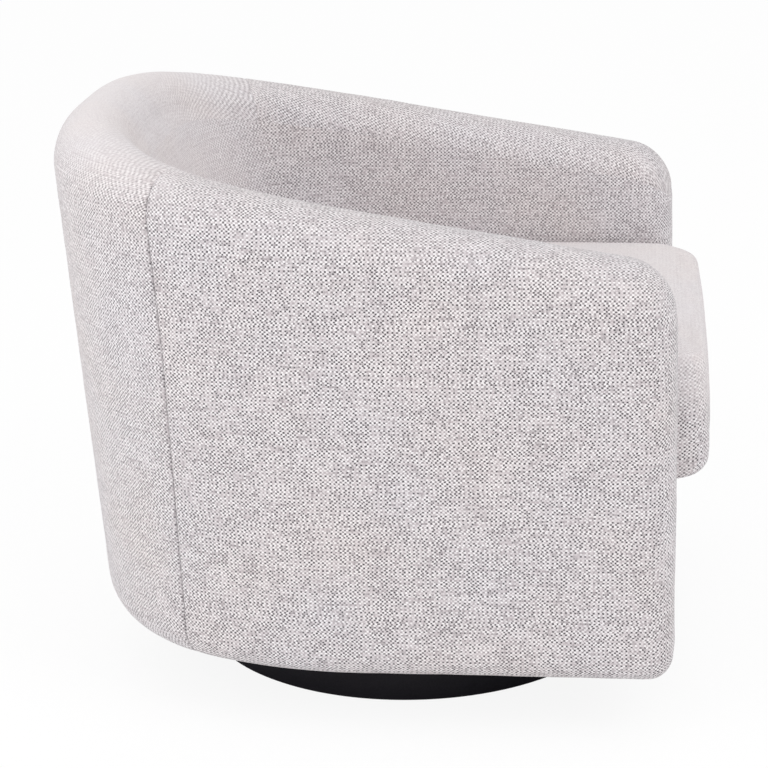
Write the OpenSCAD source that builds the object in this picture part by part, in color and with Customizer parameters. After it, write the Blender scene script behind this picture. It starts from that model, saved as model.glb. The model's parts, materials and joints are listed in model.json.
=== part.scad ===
// Barrel swivel rocker: an upholstered tub chair on a low round plinth.
// Millimetres. The origin is on the floor at the swivel axis. The chair
// faces -Y, its left and right are the sitter's, so the left arm is at +X.
// A wall station is a number: below 0 it is a distance in front of the bend,
// from 0 on it is the angle round the bend, and 90 is the middle of the back.

/* [Tub outline] */
// Half of the width over the arms
tub_half_width = 373; // [350:1:390]
// Swivel axis to the front of the arms
arm_reach = 344; // [332:1:356]
// Swivel axis to the back of the tub at its rim
back_reach = 432; // [420:1:445]
// How far the foot of the back is drawn in from the rim
back_foot_draw = 45; // [36:1:50]
// Swivel axis to where the straight arms start to bend
bend_start = 13; // [5:1:25]
// Squareness of the bend round the back, 2 is a plain ellipse
bend_power_share = 2.74; // [2.5:0.02:2.9]
// Angle round the bend at which the side and back panels meet
seam_angle = 34; // [32:1:36]
// Floor to the underside of the tub
foot_height = 74; // [70:1:80]
// Floor to the top of the arms at their front
arm_height = 572; // [550:1:590]
// Floor to the top of the back
back_height = 716; // [690:1:740]
// Part of the back's height that is gained in the last of the bend
back_lift = 11; // [4:1:18]

/* [Tub wall] */
// Thickness of the arms and of the top of the back
wall_thickness = 110; // [104:1:116]
// How far the inside of the back comes forward from its top to the deck
back_rake = 144; // [136:1:150]
// Height of the rounded outer edge of the arm tops
arm_roll_rise = 50; // [42:1:56]
// Height of the rounded outer edge of the top of the back
back_roll_rise = 62; // [54:1:72]
// Height of the rounded inner edge of the rim
inner_roll_rise = 45; // [38:1:52]
// Radius of the upright edges at the front of the arms
front_edge_round = 40; // [32:1:44]
// Radius of the top corner at the front of the arms
front_top_round = 56; // [48:1:62]
// Radius of the bottom corner at the front of the arms
front_foot_round = 34; // [28:1:40]
// Radius of the bottom edge of the side panels
foot_round = 30; // [24:1:34]
// Radius of the bottom edge of the back panel
back_foot_round = 54; // [46:1:60]
// Width of the cover that is turned under the tub
hem_width = 68; // [66:1:72]
// Thickness of the cover cloth
cover_thickness = 2.5; // [2:0.5:3]
// Foam behind the outside panels
outer_foam = 6; // [4:1:8]
// Foam over the top rails
top_foam = 38; // [32:1:44]
// Room for the wooden frame inside the wall
frame_room = 66; // [60:1:70]
// Floor to where the inside cover is tucked in and ends
tuck_height = 236; // [230:1:242]
// Gap between neighbouring layers of the upholstery
layer_gap = 0.3; // [0.2:0.1:0.4]

/* [Tub frame] */
// Thickness of the panel boards
board_thickness = 4; // [3:0.5:5]
// Height of the bottom rails
bottom_rail_height = 66; // [62:1:70]
// Height of the top rails
top_rail_height = 28; // [24:1:34]
// Width of the front posts
front_post_width = 44; // [38:1:50]
// Height of the cleats that tie the walls to the seat rails
cleat_height = 56; // [50:1:60]
// Width of a webbing strap
strap_width = 50; // [44:1:56]
// Thickness of a webbing strap
strap_thickness = 1.6; // [1.2:0.2:2]
// Number of webbing straps one above the other
strap_count = 3; // [2:1:4]
// Gap between the cross pieces of the frame where they are glued
glue_gap = 0.1; // [0.05:0.05:0.2]
// Gap where a post meets the sloping underside of a top rail
slope_gap = 1; // [0.9:0.1:1.1]

/* [Seat] */
// Thickness of the seat rails
seat_rail_thickness = 22; // [20:1:24]
// Floor to the top of the seat rails
seat_rail_top = 268; // [264:1:272]
// Height of the side and back seat rails
seat_rail_height = 100; // [96:1:104]
// Depth of the front border behind the front of the arms
border_setback = 12; // [8:1:18]
// Foam of the front border
border_foam = 10; // [8:1:12]
// Radius of the edges of the front border
border_round = 9; // [8:1:10]
// Swivel axis to the middle of the rear spring rail
spring_rail_reach = 104; // [98:1:110]
// Leg of the triangular corner blocks
corner_block_leg = 70; // [60:1:80]
// Height of the corner blocks
corner_block_height = 40; // [34:1:46]
// Wire of the seat springs
spring_wire = 3.6; // [3:0.2:4]
// Number of seat springs
spring_count = 5; // [4:1:5]
// Distance between seat springs
spring_pitch = 84; // [78:1:90]
// Width of a seat spring over its loops
spring_width = 46; // [42:1:50]
// Distance from one loop of a seat spring to the next
loop_pitch = 21; // [19:1:24]
// Height of the clips that hold the seat springs
clip_height = 7; // [6.5:0.5:8]
// Length of a spring clip
clip_length = 18; // [16:1:20]
// Thickness of the felt pad on the springs
deck_pad_thickness = 10; // [8:1:12]
// Thickness of the deck cloth
deck_cloth_thickness = 2; // [1.5:0.5:2.5]

/* [Cushion] */
// Height of the cushion at its edges
cushion_height = 156; // [150:1:170]
// Extra height of the cushion in its middle
cushion_crown = 9; // [5:1:14]
// Swivel axis to the front edge of the cushion
cushion_reach = 377; // [370:1:384]
// How far the front edge bows out in its middle
cushion_bow = 3; // [1:1:8]
// How far the front boxing leans out towards its bottom edge
cushion_swell = 10; // [6:1:14]
// Radius of the front corners of the cushion seen from above
cushion_corner_round = 45; // [38:1:60]
// Radius of the top and bottom edges of the cushion
cushion_edge_round = 20; // [16:1:22]
// Gap between the cushion and the walls round it
cushion_gap = 1; // [0.6:0.2:1.6]
// Foam core to the cushion cover
core_inset = 12; // [10:1:15]

/* [Plinth] */
// Radius of the plinth
plinth_radius = 272; // [258:1:285]
// Floor to the top of the plinth
plinth_height = 45; // [42:1:48]
// Thickness of the felt under the plinth
felt_thickness = 3; // [2:0.5:4]
// Distance from the edge of the plinth to the felt
felt_inset = 4; // [3:1:6]
// Thickness of the band round the plinth
band_thickness = 6; // [5:0.5:7]
// Radius of the top edge of the band
band_round = 2.5; // [1.5:0.5:2.5]

/* [Swivel bearing] */
// Radius of the bearing plates
bearing_radius = 130; // [124:1:136]
// Thickness of a bearing plate
bearing_plate_thickness = 6; // [5.5:0.5:7]
// Gap between the two bearing plates
bearing_gap = 2; // [1.6:0.2:2.4]
// Diameter of a bearing ball
ball_diameter = 8; // [7.6:0.2:8.6]
// Radius of the circle of balls
ball_circle_radius = 108; // [104:1:112]
// Number of balls
ball_count = 24; // [18:1:30]
// Clearance between the balls and their grooves
race_clearance = 0.05; // [0.03:0.01:0.08]
// Thickness of the ball cage
cage_thickness = 1.2; // [1:0.1:1.4]
// Width of the ball cage
cage_width = 14; // [12:1:16]
// Radius of the window in the lower bearing plate
bearing_window = 40; // [36:1:40]
// Radius of the king pin
king_pin_radius = 10; // [9:0.5:11]
// Wall of the king pin bush
bush_wall = 2.5; // [2:0.5:3]
// Thickness of the bush flange and of the washer
washer_thickness = 2.5; // [2:0.5:3]
// Running clearance of pins in their bores
running_clearance = 0.05; // [0.03:0.01:0.08]
// Height of the king pin's head and nut
king_nut_height = 9; // [8:1:10]
// Distance across the corners of the king pin's head and nut
king_nut_corners = 34; // [32:1:36]
// Number of screws that hold the lower bearing plate
plate_screw_count = 6; // [4:1:8]

/* [Rocker] */
// Floor to the rock axis
rock_height = 115; // [112:1:118]
// Middle plane of the machine to the outside of a cradle
cradle_reach = 95; // [90:1:98]
// Thickness of the rocker's pressed plates
press_thickness = 4; // [3.5:0.5:4.5]
// Width of a cradle at its foot
cradle_foot = 112; // [104:1:118]
// Width of the flange of a cradle
cradle_flange = 46; // [42:1:50]
// Radius of the pivot eyes
eye_radius = 16; // [14:1:18]
// Radius of the rocker pins
rocker_pin_radius = 6; // [5.5:0.5:6.5]
// Radius of the head of a rocker pin
pin_head_radius = 10; // [9:1:11]
// Thickness of the head and the clip of a rocker pin
pin_head_thickness = 3; // [2.5:0.5:3.5]
// Side gap between the cradles and the hangers
side_gap = 0.5; // [0.4:0.1:0.7]
// Length of a hanger along the chair
hanger_length = 250; // [236:2:256]
// Width of the flange of a hanger
hanger_flange = 36; // [32:1:40]
// Width of the cross rails
cross_rail_width = 60; // [54:1:64]
// Thickness of the cross rails
cross_rail_thickness = 30; // [28:1:32]
// Swivel axis to the middle of a cross rail and of a spring bar
spring_reach = 95; // [92:1:98]
// Width of the spring bars
spring_bar_width = 42; // [40:1:44]
// Middle plane of the machine to the end of a spring bar
spring_bar_reach = 104; // [101:1:106]
// Middle plane of the machine to the middle of a rocker spring
rocker_spring_place = 66; // [62:1:68]
// Radius of a rocker spring to the middle of its wire
rocker_spring_radius = 17; // [15:1:18]
// Wire of a rocker spring
rocker_spring_wire = 5; // [4.5:0.5:5.5]
// Number of turns of a rocker spring
rocker_spring_turns = 6; // [5:1:7]
// Radius of the opening in the dust cover
dust_opening = 180; // [176:1:186]
// Thickness of the dust cover
dust_thickness = 0.8; // [0.6:0.1:1]
// Radius of the small bolts and screws
bolt_radius = 4; // [3.5:0.5:4.5]
// Height of the small bolt heads
bolt_head_height = 3.5; // [3:0.5:4]

/* [Hidden] */

cloth_colour = [0.80, 0.77, 0.77];
foam_colour = [0.93, 0.89, 0.72];
wood_colour = [0.76, 0.60, 0.42];
board_colour = [0.52, 0.40, 0.28];
steel_colour = [0.60, 0.61, 0.63];
black_colour = [0.08, 0.07, 0.08];
felt_colour = [0.35, 0.34, 0.34];
bronze_colour = [0.72, 0.53, 0.30];

// What a cut runs past the solid that it cuts
overrun = 10;
round_steps = 96;
arm_bend_steps = 5;
back_bend_steps = 16;
front_steps = 5;
straight_steps = 3;
// Steps of the front rounding that the foam pad on an arm's front takes
pad_steps = 3;
// Where the points of a cover section and of a foam section turn back
cover_turn = 17;
foam_turn = 12;
foam_rungs = concat([[0, 16]], [for (k = [1:6]) [k, 15]], [for (k = [6:11]) [k, 14]], [[12, 13]]);
// Facets between the middle of the back and each slat of one half
slat_places = [1, 4];
// Width of a screw head over the width of its shank
screw_head_share = 1.8;
// Place of the cradle bolts along half of the cradle's foot
cradle_bolt_share = 0.6;

function joined(lists) = [for (list = lists) for (entry = list) entry];
function steps(from, to, count) = [for (i = [0:count]) from + (to - from) * i / count];
function unit(v) = v / norm(v);
function reversed(list) = [for (i = [len(list) - 1:-1:0]) list[i]];
function mirrored(list) = [for (p = reversed(list)) [-p[0], p[1]]];

// Heights
felt_top = felt_thickness;
disc_thickness = (plinth_height - felt_thickness) / 2;
lower_plate_top = plinth_height + bearing_plate_thickness;
ball_height = lower_plate_top + bearing_gap / 2;
upper_plate_bottom = lower_plate_top + bearing_gap;
upper_plate_top = upper_plate_bottom + bearing_plate_thickness;
press_top = upper_plate_top + press_thickness;
seat_rail_bottom = seat_rail_top - seat_rail_height;
cross_rail_bottom = seat_rail_bottom - glue_gap - cross_rail_thickness;
spring_seat = seat_rail_top + layer_gap;
deck_pad_bottom = seat_rail_top + clip_height + 2 * layer_gap;
deck_cloth_bottom = deck_pad_bottom + deck_pad_thickness + layer_gap;
deck_top = deck_cloth_bottom + deck_cloth_thickness;
cushion_bottom = deck_top + layer_gap;
cushion_edge_top = cushion_bottom + cushion_height;

// Depths of the layers behind the face of a wall, and of the front border
foam_skin = cover_thickness + layer_gap;
frame_face = foam_skin + outer_foam;
frame_back = frame_face + frame_room;
board_face = frame_face + layer_gap;
rail_face = board_face + board_thickness + layer_gap;
strap_face = frame_back - layer_gap - strap_thickness;
rail_back = strap_face - layer_gap;
inner_half_width = tub_half_width - wall_thickness;
border_face = arm_reach - border_setback;
border_pad_face = border_face - foam_skin;
front_rail_face = border_pad_face - border_foam - layer_gap;
front_rail_rear = front_rail_face - seat_rail_thickness;
border_flap_rear = front_rail_face - cover_thickness;
open_depth = arm_reach - front_rail_rear;
rail_inner_face = inner_half_width - layer_gap - seat_rail_thickness;

// The wall: rim outline, inward direction and heights at a station
straight_length = bend_start + arm_reach;
bend_depth = back_reach - bend_start;
function bend_point(angle) =
    let (power = bend_power_share,
         size = pow(pow(abs(cos(angle)), power) + pow(sin(angle), power), -1 / power))
    [size * cos(angle), size * sin(angle)];
function rim_point(t) =
    t < 0 ? [tub_half_width, bend_start + t]
          : [tub_half_width * bend_point(t)[0], bend_start + bend_depth * bend_point(t)[1]];
function slope_of(value) = sign(value) * pow(abs(value), bend_power_share - 1);
function inward(t) =
    t < 0 ? [-1, 0]
          : -unit([slope_of(bend_point(t)[0]) / tub_half_width,
                   slope_of(bend_point(t)[1]) / bend_depth]);
function back_weight(t) = t < 0 ? 0 : pow(sin(t), 2);
function rim_height(t) =
    let (y = rim_point(t)[1],
         climb = max(0, y - bend_start) / bend_depth,
         rise = back_height - back_lift - arm_height)
    arm_height + rise * (y + arm_reach) / (back_reach + arm_reach) + back_lift * pow(climb, 4);
// How far the outside and the inside lean forward at a height below the rim. All
// their upright edges round the bend lean alike, so every facet is flat.
function leaning(t) = t < 0 ? max(0, 1 + t / (straight_length - front_top_round)) : 1;
function outer_lean(t, z) =
    leaning(t) * back_foot_draw * (rim_height(t) - z) / (back_height - foot_height);
function inner_lean(t, z) =
    leaning(t) * back_rake * max(0, rim_height(t) - inner_roll_rise - z)
        / (back_height - inner_roll_rise - tuck_height);
// Points of a section: depth behind the rim outline, height, and how far it leans
function on_outside(t, depth, z) = [depth, z, outer_lean(t, z)];
function on_inside(t, depth, z) = [wall_thickness + depth, z, inner_lean(t, z)];
function wall_point(t, p) =
    let (xy = rim_point(t) + p[0] * inward(t))
    [xy[0], xy[1] - p[2], p[1]];

// Stations from a depth behind the front of an arm to the seam, and round the back
function arm_stations(depth) =
    concat(steps(depth - straight_length, 0, straight_steps),
           [for (i = [1:arm_bend_steps]) seam_angle * i / arm_bend_steps]);
function rounded_arm_stations(depth) =
    let (radius = front_top_round - depth)
    concat([for (i = [0:front_steps - 1])
               depth - straight_length + radius * (1 - cos(90 * i / front_steps))],
           arm_stations(front_top_round));
function back_stations() = steps(seam_angle, 180 - seam_angle, back_bend_steps);
arm_facet = seam_angle / arm_bend_steps;
back_facet = (180 - 2 * seam_angle) / back_bend_steps;

// An end cap in triangles between rungs that join one side of a ring to its other side
function ladder(width) = [for (k = [0:floor((width - 1) / 2)]) [k, width - 1 - k]];
function cap_faces(rungs) = joined([for (k = [1:len(rungs) - 1])
    let (a = rungs[k - 1][0], b = rungs[k - 1][1], c = rungs[k][0], d = rungs[k][1])
    concat(a == c ? [] : [[a, c, b]], b == d || c == d ? [] : [[c, d, b]])]);
// A solid through rings of points. From point number turned on, a ring runs back beside
// its own first part, and its facets are split along the other diagonal to stay parallel.
module skin_rings(rings, turned = 1000, rungs = []) {
    width = len(rings[0]);
    last = len(rings) - 1;
    first_cap = len(rungs) > 0 ? cap_faces(rungs) : [[for (j = [0:width - 1]) j]];
    last_cap = [for (face = first_cap) [for (j = face) last * width + j]];
    polyhedron(
        points = joined(rings),
        faces = concat(
            [for (face = first_cap) reversed(face)],
            last_cap,
            joined([for (i = [0:last - 1]) joined([for (j = [0:width - 1])
                let (a = i * width + j, b = i * width + (j + 1) % width)
                j < turned ? [[a, b, b + width], [a, b + width, a + width]]
                           : [[a, b, a + width], [b, b + width, a + width]]])])
        ),
        convexity = 8
    );
}

// A wall member. Its section is a function of the station that lists section points.
function wall_ring(t, section) = [for (p = section) wall_point(t, p)];
module wall_member(stations, section, turned = 1000, rungs = []) {
    rings = [for (t = stations) wall_ring(t, section(t))];
    skin_rings(rings, turned, len(rungs) > 0 ? rungs : ladder(len(rings[0])));
}
// A rectangle between two depths behind the outside face and two heights
function face_section(t, near, far, low, high) = [
    on_outside(t, near, low),
    on_outside(t, near, high),
    on_outside(t, far, high),
    on_outside(t, far, low)
];
// A rectangle between two depths measured from the inside face into the tub
function room_section(t, near, far, low, high) = [
    on_inside(t, near, low),
    on_inside(t, near, high),
    on_inside(t, far, high),
    on_inside(t, far, low)
];
// From a depth behind the outside face to one from the inside face
function filling_section(t, near, far, low, high) = [
    on_outside(t, near, low),
    on_outside(t, near, high),
    on_inside(t, far, high),
    on_inside(t, far, low)
];

// How far a rounding of this radius cuts in at a distance from its start
function nip(distance, radius) =
    distance >= radius ? 0 : radius - sqrt(max(0, radius * radius - pow(radius - distance, 2)));
function heel_round(t) = foot_round + (back_foot_round - foot_round) * back_weight(t);

// Sizes of the rounded wall under a skin of this depth
function roll_sizes(t, skin) =
    let (front = straight_length + (t < 0 ? t : 0) - skin,
         side = nip(front, front_edge_round - skin),
         crest = wall_thickness / 2,
         reach = crest - skin - side,
         narrow_share = reach / (crest - skin),
         roll_rise = arm_roll_rise + (back_roll_rise - arm_roll_rise) * back_weight(t))
    [skin + side,
     foot_height + skin + nip(front, front_foot_round - skin),
     (heel_round(t) - skin) * narrow_share,
     reach,
     rim_height(t) - skin - nip(front, front_top_round - skin),
     (roll_rise - skin) * narrow_share,
     (inner_roll_rise - skin) * narrow_share];
// The heel up to the outside, and the outside over the roll to the inside
function heel_path(t, size) =
    [for (a = [0:30:90])
        on_outside(t, size[0] + size[2] * (1 - sin(a)), size[1] + size[2] * (1 - cos(a)))];
function over_path(t, size) = concat(
    [for (a = [0:18:90])
        on_outside(t, size[0] + size[3] * (1 - cos(a)), size[4] - size[5] * (1 - sin(a)))],
    [for (a = [72:-18:0])
        on_inside(t, -size[0] - size[3] * (1 - cos(a)), size[4] - size[6] * (1 - sin(a)))]);
function roll_section(t, skin) =
    let (size = roll_sizes(t, skin))
    concat(heel_path(t, size), over_path(t, size), [on_inside(t, -size[0], size[1])]);
// The cover alone, from its hem under the foot to its end inside the tuck
function cover_section(t) =
    let (size = roll_sizes(t, 0), lining = roll_sizes(t, cover_thickness))
    concat([on_outside(t, hem_width, foot_height)],
           heel_path(t, size), over_path(t, size), [on_inside(t, 0, tuck_height)],
           [on_inside(t, -cover_thickness, tuck_height)],
           reversed(concat(heel_path(t, lining), over_path(t, lining))),
           [on_outside(t, hem_width, foot_height + cover_thickness)]);
// The foam alone, from the heel over the room that is left for the frame to the tuck
function foam_section(t) =
    let (size = roll_sizes(t, foam_skin),
         heel_top = size[1] + size[2],
         frame_top = rim_height(t) - foam_skin - top_foam)
    concat([on_outside(t, size[0], heel_top)], over_path(t, size),
           [on_inside(t, -size[0], tuck_height), on_outside(t, frame_back, tuck_height),
            on_outside(t, frame_back, frame_top), on_outside(t, frame_face, frame_top),
            on_outside(t, frame_face, heel_top)]);

// Cuts the inside below the tuck and the bottom past the hem out of a wall
function opening_section(t) =
    filling_section(t, hem_width, overrun, foot_height - overrun, tuck_height);

// The outside of an arm ends in a strip as wide as the cloth, which lies flat on the back's
arm_skin_rings = concat([for (t = rounded_arm_stations(0)) wall_ring(t, roll_section(t, 0))],
                        [wall_ring(seam_angle, roll_section(seam_angle, cover_thickness))]);
module arm_cover() {
    color(cloth_colour) difference() {
        skin_rings(arm_skin_rings, rungs = ladder(len(arm_skin_rings[0])));
        wall_member(concat(rounded_arm_stations(cover_thickness), [seam_angle + back_facet]),
                    function(t) roll_section(t, cover_thickness));
        wall_member(concat(arm_stations(open_depth), [seam_angle + back_facet]),
                    function(t) opening_section(t));
    }
}
module arm_cover_left() { arm_cover(); }
module arm_cover_right() { mirror([1, 0, 0]) arm_cover(); }
module back_cover() {
    color(cloth_colour) wall_member(back_stations(), function(t) cover_section(t), cover_turn);
}

// Foam: a pad on the front end of each arm, and the rest that wraps the frame
module arm_foam() {
    rounded = rounded_arm_stations(foam_skin);
    color(foam_colour) {
        wall_member(concat([for (i = [0:pad_steps - 1]) rounded[i]], [rounded[pad_steps] - glue_gap]),
                    function(t) roll_section(t, foam_skin));
        wall_member([for (i = [pad_steps:len(rounded) - 1]) rounded[i]],
                    function(t) foam_section(t), foam_turn, foam_rungs);
    }
}
module arm_foam_left() { arm_foam(); }
module arm_foam_right() { mirror([1, 0, 0]) arm_foam(); }
module back_foam() {
    color(foam_colour)
        wall_member(back_stations(), function(t) foam_section(t), foam_turn, foam_rungs);
}

// Wooden frame
module both_sides() {
    children();
    mirror([1, 0, 0]) children();
}
frame_front = straight_length + rounded_arm_stations(foam_skin)[pad_steps] + layer_gap;
post_rear = frame_front + front_post_width;
bottom_rail_low = foot_height + foam_skin;
bottom_rail_high = bottom_rail_low + bottom_rail_height;
function top_rail_high(t) = rim_height(t) - foam_skin - top_foam - layer_gap;
function top_rail_low(t) = top_rail_high(t) - top_rail_height;
function bottom_rail_section(t) =
    let (chamfer_top = bottom_rail_low + heel_round(t) - rail_face)
    [
        on_outside(t, heel_round(t), bottom_rail_low),
        on_outside(t, rail_face, chamfer_top),
        on_outside(t, rail_face, bottom_rail_high),
        on_outside(t, rail_back, bottom_rail_high),
        on_outside(t, rail_back, bottom_rail_low)
    ];
function top_rail_section(t) =
    face_section(t, rail_face, rail_back, top_rail_low(t), top_rail_high(t));
function post_section(t) =
    face_section(t, rail_face, rail_back, bottom_rail_high + glue_gap, top_rail_low(t) - slope_gap);
module arm_bottom_rails() {
    color(wood_colour) both_sides()
        wall_member(arm_stations(post_rear), function(t) bottom_rail_section(t));
}
module arm_top_rails() {
    color(wood_colour) both_sides()
        wall_member(arm_stations(frame_front), function(t) top_rail_section(t));
}
module front_posts() {
    color(wood_colour) both_sides()
        wall_member(steps(frame_front - straight_length, post_rear - glue_gap - straight_length, 1),
                    function(t) face_section(t, rail_face, rail_back,
                                             bottom_rail_low + foot_round,
                                             top_rail_low(t) - slope_gap));
}
module rear_posts() {
    color(wood_colour) both_sides()
        wall_member([seam_angle - arm_facet, seam_angle], function(t) post_section(t));
}
module back_bottom_rail() {
    color(wood_colour) wall_member(back_stations(), function(t) bottom_rail_section(t));
}
module back_top_rail() {
    color(wood_colour) wall_member(back_stations(), function(t) top_rail_section(t));
}
module back_posts() {
    color(wood_colour) both_sides()
        wall_member([seam_angle, seam_angle + back_facet], function(t) post_section(t));
}
module back_slats() {
    color(wood_colour) both_sides() for (place = slat_places)
        wall_member([90 - (place + 1) * back_facet, 90 - place * back_facet],
                    function(t) post_section(t));
}

// Panel boards under the outside foam
function board_section(t) =
    face_section(t, board_face, board_face + board_thickness, foot_height + heel_round(t),
                 top_rail_high(t) - top_rail_height / 2);
module arm_board() {
    color(board_colour)
        wall_member(arm_stations(frame_front + board_thickness), function(t) board_section(t));
}
module arm_board_left() { arm_board(); }
module arm_board_right() { mirror([1, 0, 0]) arm_board(); }
module back_board() {
    color(board_colour) wall_member(back_stations(), function(t) board_section(t));
}

// Cleats between the wall frames and the seat rails, under the tuck
function cleat_section(t) =
    filling_section(t, rail_back + glue_gap, layer_gap - glue_gap,
                    tuck_height - layer_gap - cleat_height, tuck_height - layer_gap);
module wall_cleats() {
    between_posts = steps(seam_angle + back_facet, 180 - seam_angle - back_facet, back_bend_steps - 2);
    color(wood_colour) {
        both_sides()
            wall_member(arm_stations(open_depth + layer_gap), function(t) cleat_section(t));
        wall_member(between_posts, function(t) cleat_section(t));
    }
}

// Webbing on the inside of the wall frames
strap_low = tuck_height + strap_width / 2;
strap_room = arm_height - foam_skin - top_foam - top_rail_height - strap_low;
strap_step = strap_room / strap_count;
function strap_section(t, i) =
    face_section(t, strap_face, strap_face + strap_thickness,
                 strap_low + i * strap_step,
                 strap_low + i * strap_step + min(strap_width, strap_step / 2));
module webbing_straps() {
    color(felt_colour) for (i = [0:strap_count - 1]) {
        both_sides() wall_member(arm_stations(frame_front), function(t) strap_section(t, i));
        wall_member(back_stations(), function(t) strap_section(t, i));
    }
}

// Seat box
side_rail_stations = concat(steps(open_depth + glue_gap - straight_length, 0, straight_steps),
                            [arm_facet, 2 * arm_facet]);
function seat_rail_section(t) =
    room_section(t, layer_gap, layer_gap + seat_rail_thickness, seat_rail_bottom, seat_rail_top);
module seat_rail_left() {
    color(wood_colour) wall_member(side_rail_stations, function(t) seat_rail_section(t));
}
module seat_rail_right() { mirror([1, 0, 0]) seat_rail_left(); }
// Everything from the inside of the seat rails outwards, to fit pieces between them
module rail_clearing() {
    both_sides()
        wall_member(concat(side_rail_stations, [for (t = back_stations()) if (t <= 90) t]),
                    function(t) room_section(t, -wall_thickness / 2,
                                             layer_gap + seat_rail_thickness + glue_gap,
                                             seat_rail_bottom - overrun, seat_rail_top + overrun));
}
module seat_rail_back() {
    inner = [for (t = [2, 3, 4]) t * arm_facet];
    color(wood_colour)
        wall_member(concat(inner, back_stations(), reversed([for (t = inner) 180 - t])),
                    function(t) seat_rail_section(t));
}
module seat_rail_front() {
    half = inner_half_width - layer_gap;
    color(wood_colour)
        translate([-half, -front_rail_face, bottom_rail_low])
            cube([2 * half, seat_rail_thickness, seat_rail_top - bottom_rail_low]);
}
module spring_rail() {
    height = corner_block_height + seat_rail_thickness;
    color(wood_colour) difference() {
        translate([-rail_inner_face, spring_rail_reach - seat_rail_thickness / 2,
                   seat_rail_top - height])
            cube([2 * rail_inner_face, seat_rail_thickness, height]);
        rail_clearing();
    }
}
module corner_block(y, turn) {
    difference() {
        translate([rail_inner_face - glue_gap, y,
                   seat_rail_top - seat_rail_thickness - corner_block_height])
            linear_extrude(corner_block_height)
                polygon([[0, 0], [-corner_block_leg, 0], [0, turn * corner_block_leg]]);
        rail_clearing();
    }
}
module corner_blocks() {
    color(wood_colour) both_sides() {
        corner_block(glue_gap - front_rail_rear, 1);
        corner_block(spring_rail_reach - seat_rail_thickness / 2 - glue_gap, -1);
    }
}

// Seat springs: flat zigzag wires between clips on the front rail and the spring rail
clip_width = seat_rail_thickness - 2 * cover_thickness;
spring_front = -(border_flap_rear + front_rail_rear) / 2;
spring_rear = spring_rail_reach;
loops = floor((spring_rear - spring_front - 2 * clip_width) / loop_pitch / 2) * 2;
sway = (spring_width - spring_wire) / 2;
loop_start = (spring_front + spring_rear - loops * loop_pitch) / 2;
spring_line = concat(
    [[0, spring_front - clip_width / 2 + layer_gap]],
    [for (i = [0:loops * 6]) [sway * sin(180 * i / 6), loop_start + loop_pitch * i / 6]],
    [[0, spring_rear + clip_width / 2 - layer_gap]]
);
function side_step(line, i) =
    let (along = unit(line[min(i + 1, len(line) - 1)] - line[max(i - 1, 0)]))
    [-along[1], along[0]];
module wire_band(line, wire) {
    one_side = [for (i = [0:len(line) - 1]) line[i] + side_step(line, i) * wire / 2];
    other_side = [for (i = [0:len(line) - 1]) line[i] - side_step(line, i) * wire / 2];
    linear_extrude(wire) polygon(concat(one_side, reversed(other_side)));
}
module seat_springs() {
    color(steel_colour) for (i = [0:spring_count - 1])
        translate([(i - (spring_count - 1) / 2) * spring_pitch, 0, spring_seat])
            wire_band(spring_line, spring_wire);
}
module spring_clip(y) {
    difference() {
        translate([-clip_length / 2, y - clip_width / 2, seat_rail_top])
            cube([clip_length, clip_width, clip_height]);
        translate([-spring_wire / 2 - layer_gap, y - clip_width / 2 - overrun, seat_rail_top - overrun])
            cube([spring_wire + 2 * layer_gap, clip_width + 2 * overrun,
                  spring_wire + 2 * layer_gap + overrun]);
    }
}
module spring_clips() {
    color(steel_colour) for (i = [0:spring_count - 1], y = [spring_front, spring_rear])
        translate([(i - (spring_count - 1) / 2) * spring_pitch, 0, 0]) spring_clip(y);
}

// Half of a seat outline at a height, from the front round to the middle of the back
function inside_half(z, gap, depth) = [
    for (t = concat(arm_stations(depth), back_stations()))
        if (t <= 90) let (p = wall_point(t, on_inside(t, gap, z))) [p[0], p[1]]
];
module seat_sheet(low, thickness, front) {
    half = inside_half(low, layer_gap, arm_reach - front);
    translate([0, 0, low]) linear_extrude(thickness) polygon(concat(half, mirrored(half)));
}
module deck_pad() {
    color(felt_colour) seat_sheet(deck_pad_bottom, deck_pad_thickness, border_flap_rear - layer_gap);
}
module deck_cloth() {
    color(black_colour) seat_sheet(deck_cloth_bottom, deck_cloth_thickness, border_flap_rear - layer_gap);
}

// Cushion: rings round its edge, then rings that close over its crown
corner_middle = inner_half_width - cushion_gap - cushion_corner_round;
function cushion_half(z, inset, swell) =
    concat(
        [for (i = [0:3]) let (x = corner_middle * i / 4)
            [x, inset - swell - cushion_reach - cushion_bow * (1 - pow(i / 4, 2))]],
        [for (a = [0:18:90])
            [corner_middle + (cushion_corner_round - inset) * sin(a),
             cushion_corner_round - cushion_reach - (cushion_corner_round - inset + swell) * cos(a)]],
        inside_half(z, cushion_gap + inset, front_top_round)
    );
function cushion_ring(z, inset, swell) =
    let (half = cushion_half(z, inset, swell))
    concat([for (p = half) [p[0], p[1], z]],
           [for (i = [len(half) - 2:-1:1]) [-half[i][0], half[i][1], z]]);
cushion_middle = [0, -(cushion_reach - spring_rail_reach) / 2];
function crown_ring(share) =
    let (edge = cushion_ring(cushion_edge_top, cushion_edge_round, 0))
    [for (p = edge)
        [cushion_middle[0] + (p[0] - cushion_middle[0]) * share,
         cushion_middle[1] + (p[1] - cushion_middle[1]) * share,
         cushion_edge_top + cushion_crown * (1 - share * share)]];
crown_shares = [0.9, 0.75, 0.55, 0.32, 0.1];
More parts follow.
